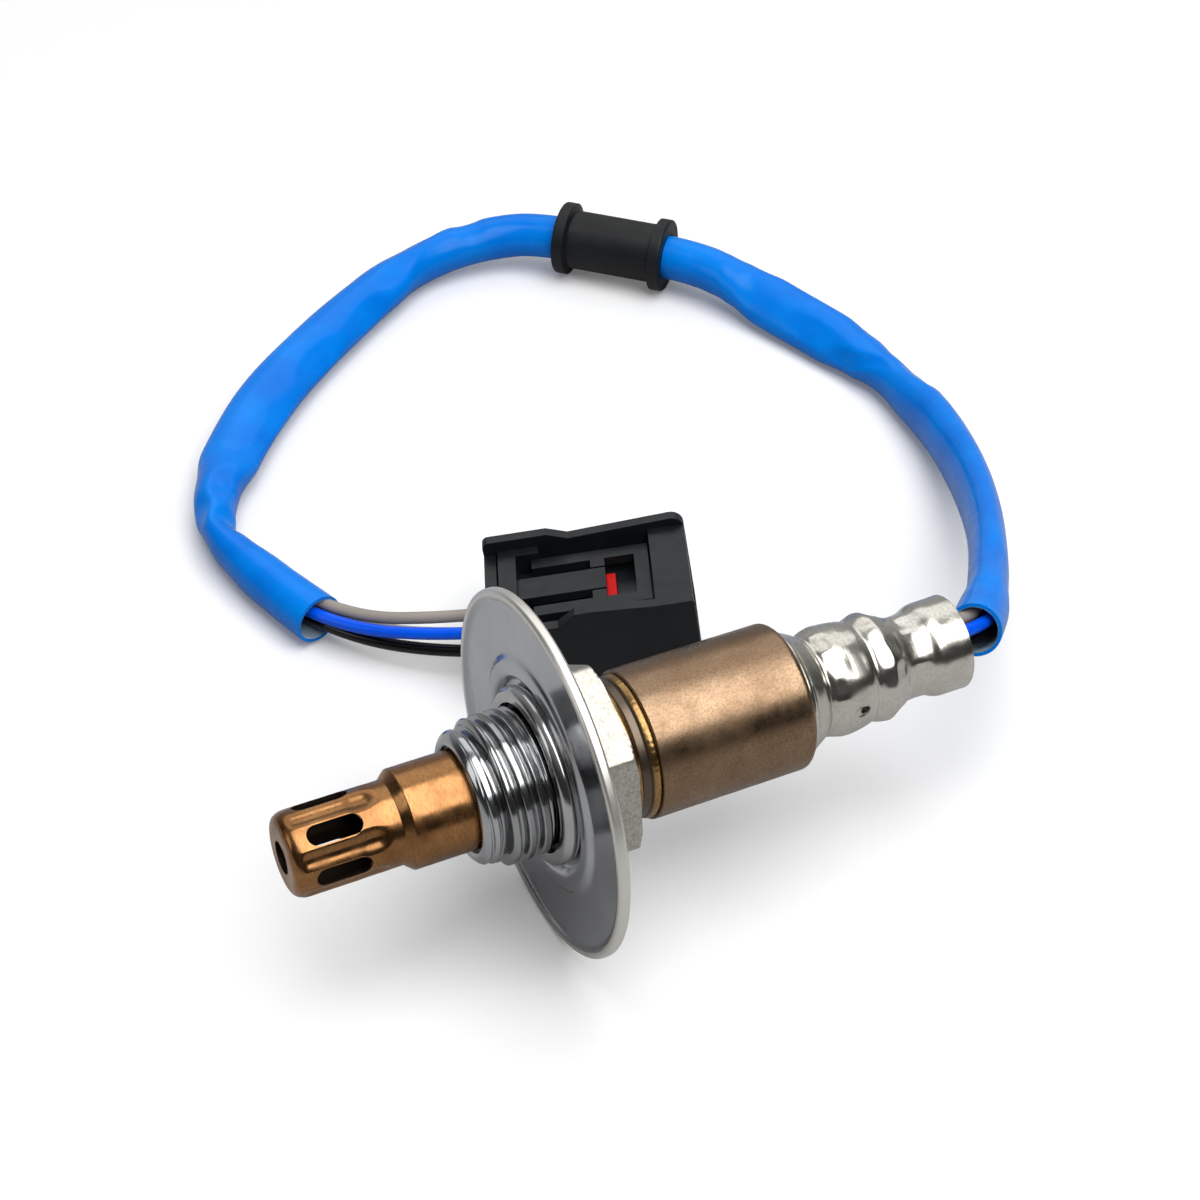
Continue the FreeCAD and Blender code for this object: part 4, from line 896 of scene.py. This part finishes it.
# Where the channels fade in and out along the axis, and where the spoon does
CHANNEL_ALONG = (-29.7, -28.6, -20.2, -18.4)
SPOON_ALONG = (-22.8, -21.4, -20.6, -18.6)
CHANNEL_HALF, SPOON_WIDER = 1.25, 0.45
CHANNEL_DEPTH, SPOON_DEEPER = 0.30, 0.16
CHANNEL_RIM, RIM_WIDTH = 0.05, 0.14


def between(value, rise_from, rise_to, fall_from, fall_to):
    """1 between two places and 0 outside them, with soft ends."""
    return ease(value, rise_from, rise_to) * (1 - ease(value, fall_from, fall_to))


def channels(along, angle, radius):
    """Radius of the cover at a place, with the channels between its slots pressed in."""
    if not -29.9 < along < -18.0 or radius < 4.0:
        return radius
    half_turn = math.pi / SLOTS
    from_middle = (angle - SLOT_TURN - half_turn) % (2 * half_turn) - half_turn
    across = abs(half_turn - abs(from_middle)) * radius
    spoon = between(along, *SPOON_ALONG)
    half = CHANNEL_HALF + SPOON_WIDER * spoon
    ends = between(along, *CHANNEL_ALONG)
    trough = (1 - ease(across, 0.1, half)) * ends
    rim = math.exp(-((across - half) / RIM_WIDTH) ** 2) * ends
    return radius - (CHANNEL_DEPTH + SPOON_DEEPER * spoon) * trough + CHANNEL_RIM * rim


cover_outside = soften([
    (TIP, 1.95, 0.1), (TIP, 5.1, 1.7), (-17.1, 5.1, 0.12), (-16.0, 6.07, 0.14), (-7.9, 6.07, 0),
], steps=8)
cover_inside = soften([
    (-7.9, 6.07 - SHEET, 0), (-15.9, 6.07 - SHEET, 0.1), (-16.9, 5.1 - SHEET, 0.1),
    (TIP + SHEET, 5.1 - SHEET, 1.3), (TIP + SHEET, 1.95, 0),
])
cover = lathe("tip_cover", divided(cover_outside, 0.16) + divided(cover_inside, 1.2),
              cover_painted_shade, ["outer_protection_cover"], around=240, press=channels, sharp=40)

# %% [markdown]
# The slots are punched after drawing, so they have crisp edges that show the thickness of
# the sheet. Leaving faces out of the grid would give them stairs. So they are cut out of
# the finished sheet here as well, by six punches with round ends and a Boolean.

# %% Slots of the tip cover
SLOT_FROM, SLOT_TO = -28.0, -21.3
SLOT_HALF = 1.25
PUNCH_REACH = (2.5, 7.0)
END_POINTS = 20


def slot_cutters():
    """Six upright punches with round ends, in one mesh, as one object."""
    points, faces = [], []
    ring_points = 2 * END_POINTS
    for number in range(SLOTS):
        turn = SLOT_TURN + number * 2 * math.pi / SLOTS
        out = Vector((0, math.cos(turn), math.sin(turn)))
        side = Vector((0, -math.sin(turn), math.cos(turn)))
        ring = []
        for step in range(ring_points):
            end, part = divmod(step, END_POINTS)
            bend = math.pi * part / (END_POINTS - 1) + math.pi * end - math.pi / 2
            middle = SLOT_FROM + SLOT_HALF if end else SLOT_TO - SLOT_HALF
            along = Vector((middle + SLOT_HALF * math.cos(bend), 0, 0))
            ring.append(along + side * (SLOT_HALF * math.sin(bend)))
        first = len(points)
        points += [(point + out * reach) * MM for reach in PUNCH_REACH for point in ring]
        faces.append(tuple(first + k for k in range(ring_points)))
        faces.append(tuple(first + 2 * ring_points - 1 - k for k in range(ring_points)))
        for k in range(ring_points):
            after = (k + 1) % ring_points
            faces.append((first + k, first + ring_points + k,
                          first + ring_points + after, first + after))
    mesh = bpy.data.meshes.new("punches")
    mesh.from_pydata([tuple(point) for point in points], [], faces)
    punches = bpy.data.objects.new("punches", mesh)
    bpy.context.scene.collection.objects.link(punches)
    return punches


def cut(target, cutter, sharp):
    """Takes the cutter out of the target for good, and removes the cutter."""
    modifier = target.modifiers.new("cut", "BOOLEAN")
    modifier.operation = "DIFFERENCE"
    modifier.solver = "EXACT"
    modifier.object = cutter
    seen = target.evaluated_get(bpy.context.evaluated_depsgraph_get())
    mesh = bpy.data.meshes.new_from_object(seen)
    target.modifiers.clear()
    target.data = mesh
    mesh.shade_smooth()
    mesh.set_sharp_from_angle(angle=math.radians(sharp))
    bpy.data.objects.remove(cutter)
    print("cut", target.name, len(mesh.polygons), "faces")


cut(cover, slot_cutters(), 40)

# %% [markdown]
# Behind the hexagon the body is welded on. The weld leaves a rounded bead, a flat darker
# ring, and a second, wider bead with fine ripples against the body's front edge.
# The ripples catch the light one by one, so they are in the mesh and not in the finish.

# %% Weld
WELD_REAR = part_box("body_cover")[0].x / MM
RIPPLES = 72
RIPPLE_HEIGHT = 0.010


def ripples(along, angle, radius):
    """Fine ripples where the weld pool froze, on the rear bead."""
    return radius + RIPPLE_HEIGHT * math.sin(RIPPLES * angle) * ease(along, 12.3, 12.9)


weld = soften([
    (HEX_REAR, 8.0, 0), (HEX_REAR, 8.7, 0.15), (HEX_REAR + 0.8, 8.95, 0.35),
    (HEX_REAR + 1.4, 8.75, 0.2), (HEX_REAR + 1.6, 8.45, 0.15), (HEX_REAR + 2.6, 8.5, 0.15),
    (HEX_REAR + 2.8, 8.75, 0.2), (WELD_REAR - 0.35, 8.95, 0.3), (WELD_REAR, 8.85, 0.1),
    (WELD_REAR, 8.0, 0),
])
lathe("weld_rings", divided(weld, 0.2), weld_dark_ring, ["weld_collar"], around=432, closed=False,
      press=ripples, sharp=50)

# %% [markdown]
# The rear sleeve is one thin nickelled tube. It is drawn down behind the body, rolled into
# two bulges and crimped on the rubber grommet, and the crimping jaws leave soft facets.
# A small dished vent lets the reference air in. Sculpting could give the facets, but a
# table of bands keeps them even: each band has its own number of jaws, and every facet is
# a little deeper or shallower than the next.

# %% Crimps of the rear sleeve
# Bands of facets: from, to, how many around, depth, turn in facets
FACETS = (
    (3.4, 5.9, 13, 0.15, 0.2), (5.6, 9.9, 9, 0.11, 0.35), (10.6, 12.5, 15, 0.12, 0.1),
    (12.3, 14.5, 12, 0.15, 0.5), (14.8, 18.6, 9, 0.20, 0.3), (18.9, 23.0, 7, 0.03, 0.6),
)
DISH_DEPTH, PIT_DEPTH = 0.30, 1.6
DISH_HALF = (1.55, 1.05)
PIT_HALF = (0.55, 0.45)


def crimped(along, angle, radius):
    """Radius of the rear sleeve at a place, with its facets and its vent pressed in."""
    station = along - BODY_REAR
    pressed_in = 0.0
    for number, (start, end, count, depth, turn) in enumerate(FACETS):
        run_in = 0.35 * (end - start)
        band = between(station, start, start + run_in, end - run_in, end)
        share = angle / (2 * math.pi) * count + turn
        across = abs(share % 1.0 - 0.5) * 2
        uneven = 1 + 0.4 * math.sin(2.4 * math.floor(share) + number)
        pressed_in += depth * uneven * band * (1 - ease(across, 0.05, 1.0))
    beside_vent = (angle - VENT_ANGLE) * radius
    behind_vent = station - VENT_ALONG
    dish = math.hypot(behind_vent / DISH_HALF[0], beside_vent / DISH_HALF[1])
    pit = math.hypot((behind_vent - PIT_BACK) / PIT_HALF[0], beside_vent / PIT_HALF[1])
    pressed_in += DISH_DEPTH * (1 - ease(dish, 0.35, 1.0)) + PIT_DEPTH * (1 - ease(pit, 0.6, 1.0))
    return radius - pressed_in


print("crimps:", sum(band[2] for band in FACETS), "facets in", len(FACETS), "bands")

# %% [markdown]
# The outline of the rear sleeve carries the shoulder, the two bulges, the crimped stretch
# and the flare, measured from the rear end of the body. The inside is plainer, because
# only its rear mouth shows.

# %% Rear sleeve
rear_outside = soften([(BODY_REAR + station, out, rounding) for station, out, rounding in (
    (-0.25, 8.25, 0), (0.5, 8.25, 0.35), (1.0, 7.75, 0.5), (2.9, 6.75, 0.8), (3.5, 6.2, 0.35),
    (4.3, 6.75, 0.9), (6.6, 7.1, 2.4), (9.2, 6.75, 1.2), (10.1, 6.25, 0.35), (10.9, 6.65, 0.7),
    (12.3, 7.05, 1.3), (13.8, 6.3, 1.0), (15.0, 5.45, 0.6), (16.6, 5.3, 0.3), (18.3, 5.35, 0.5),
    (19.6, 6.0, 0.8), (23.55, 6.0, 0.15),
)], steps=6)
rear_inside = [Vector((BODY_REAR + station, out)) for station, out in (
    (23.55, 5.6), (19.8, 5.55), (18.4, 4.95), (15.0, 4.95), (3.4, 5.6), (0.4, 7.4), (-0.25, 7.4),
)]
lathe("crimped_sleeve", divided(rear_outside, 0.17) + divided(rear_inside, 3.0), vented_sleeve,
      ["rear_sleeve"], around=336, press=crimped, sharp=50)

# %% [markdown]
# A polished metal shows what stands round it, so the world matters as much as the lamps. A
# picture of a studio could be wrapped round the part, but a graded sky says it in two
# numbers: it is dark near the horizon, which gives the metals their dark stripes, and
# brighter overhead and behind. What the camera itself sees of it is plain white.

# %% Sky
BEHIND = (0.43, 0.90, 0.0)
world = bpy.data.worlds.new("studio")
bpy.context.scene.world = world
world.use_nodes = True
world.node_tree.nodes.clear()
sky = Tree(world.node_tree)
toward = sky.node("TexCoord", out="Generated")
height = sky.node("SeparateXYZ", {}, {0: toward}, out="Z")
behind = sky.node("VectorMath", {"operation": "DOT_PRODUCT"}, {0: toward, 1: BEHIND}, out="Value")
glow = (sky.steps(height, 0.35, 0.95, 0.04, 0.26, smooth=True)
        + sky.steps(behind, 0.2, 1.0, 0.0, 0.36, smooth=True))
dim = sky.node("Background", {}, {"Color": (0.97, 0.985, 1.0, 1), "Strength": glow})
white = sky.node("Background", {}, {"Color": (1, 1, 1, 1), "Strength": 1.0})
either = sky.node("MixShader", {}, {
    0: sky.node("LightPath", out="Is Camera Ray"), 1: dim, 2: white})
sky.node("OutputWorld", {}, {"Surface": either}, out=None)
print("sky:", len(world.node_tree.nodes), "nodes")

# %% [markdown]
# The floor is white paper that holds the shadow. A brighter lamp could bleach it, but that
# would wash out the part as well. So the paper is pale to the camera and greyer to the
# light that bounces from it to the part. Away from the part it fades to plain white, which
# hides where it ends.

# %% Floor
MIDDLE = (0.03, 0.05, 0.0)
FLOOR = cad_box[0][2]
FLOOR_HALF = 2.0
FLOOR_GAP = 0.0002
# Distance from the middle at which the floor starts and ends its fade to white, in metres
FADE_FROM, FADE_TO = 0.11, 0.36
floor_mesh = bpy.data.meshes.new("floor")
floor_mesh.from_pydata([(x * FLOOR_HALF, y * FLOOR_HALF, FLOOR - FLOOR_GAP)
                        for x, y in ((-1, -1), (1, -1), (1, 1), (-1, 1))], [], [(0, 1, 2, 3)])
floor = bpy.data.objects.new("floor", floor_mesh)
bpy.context.scene.collection.objects.link(floor)
paper = Finish("paper", Roughness=0.9, Specular_IOR_Level=0.1)
seen = paper.node("LightPath", out="Is Camera Ray")
paper.feed(Base_Color=paper.blend(seen, (0.43, 0.43, 0.43), (0.93, 0.93, 0.93)))
plain = paper.node("Emission", {}, {"Color": (1, 1, 1, 1), "Strength": 1.0})
away = paper.node("VectorMath", {"operation": "DISTANCE"}, {
    0: paper.place, 1: (*MIDDLE[:2], FLOOR)}, out="Value")
lift = paper.node("MixShader", {}, {
    0: seen * paper.steps(away, FADE_FROM, FADE_TO, 0.1, 1.0),
    1: Level(paper, paper.shader.outputs[0]), 2: plain})
paper.tree.links.new(lift.socket, paper.tree.nodes["Material Output"].inputs[0])
floor_mesh.materials.append(paper.material)
print("floor at", round(FLOOR / MM, 2), "mm")

# %% [markdown]
# Three soft boxes light the part: a large one overhead, a weaker one behind and a small one
# at the left. Point lamps would give hard spots on the metal, while a box leaves the broad
# bright band that the turned pieces show.


# %% Lamps
def soft_box(name, place, size, watts):
    """A rectangular lamp that looks at the middle of the part."""
    lamp = bpy.data.lights.new(name, "AREA")
    lamp.shape = "RECTANGLE"
    lamp.size, lamp.size_y = size
    lamp.energy = watts
    holder = bpy.data.objects.new(name, lamp)
    holder.location = place
    aim = Vector(MIDDLE) - Vector(place)
    holder.rotation_euler = aim.to_track_quat("-Z", "Y").to_euler()
    bpy.context.scene.collection.objects.link(holder)
    print(name, "lamp,", watts, "W")


soft_box("overhead", (0.10, -0.20, 0.62), (0.6, 0.85), 6.0)
soft_box("back", (0.22, 0.48, 0.52), (0.8, 0.5), 1.1)
soft_box("left", (-0.60, 0.10, 0.30), (0.3, 0.4), 0.5)

# %% [markdown]
# Last, the view settings are set plain, so that colours come out about as they are written,
# and the size of the CAD box is printed.

# %% Sizes and the end
bpy.context.scene.view_settings.view_transform = "Standard"
print("CAD box", [[round(c / MM, 2) for c in corner] for corner in cad_box], "mm")
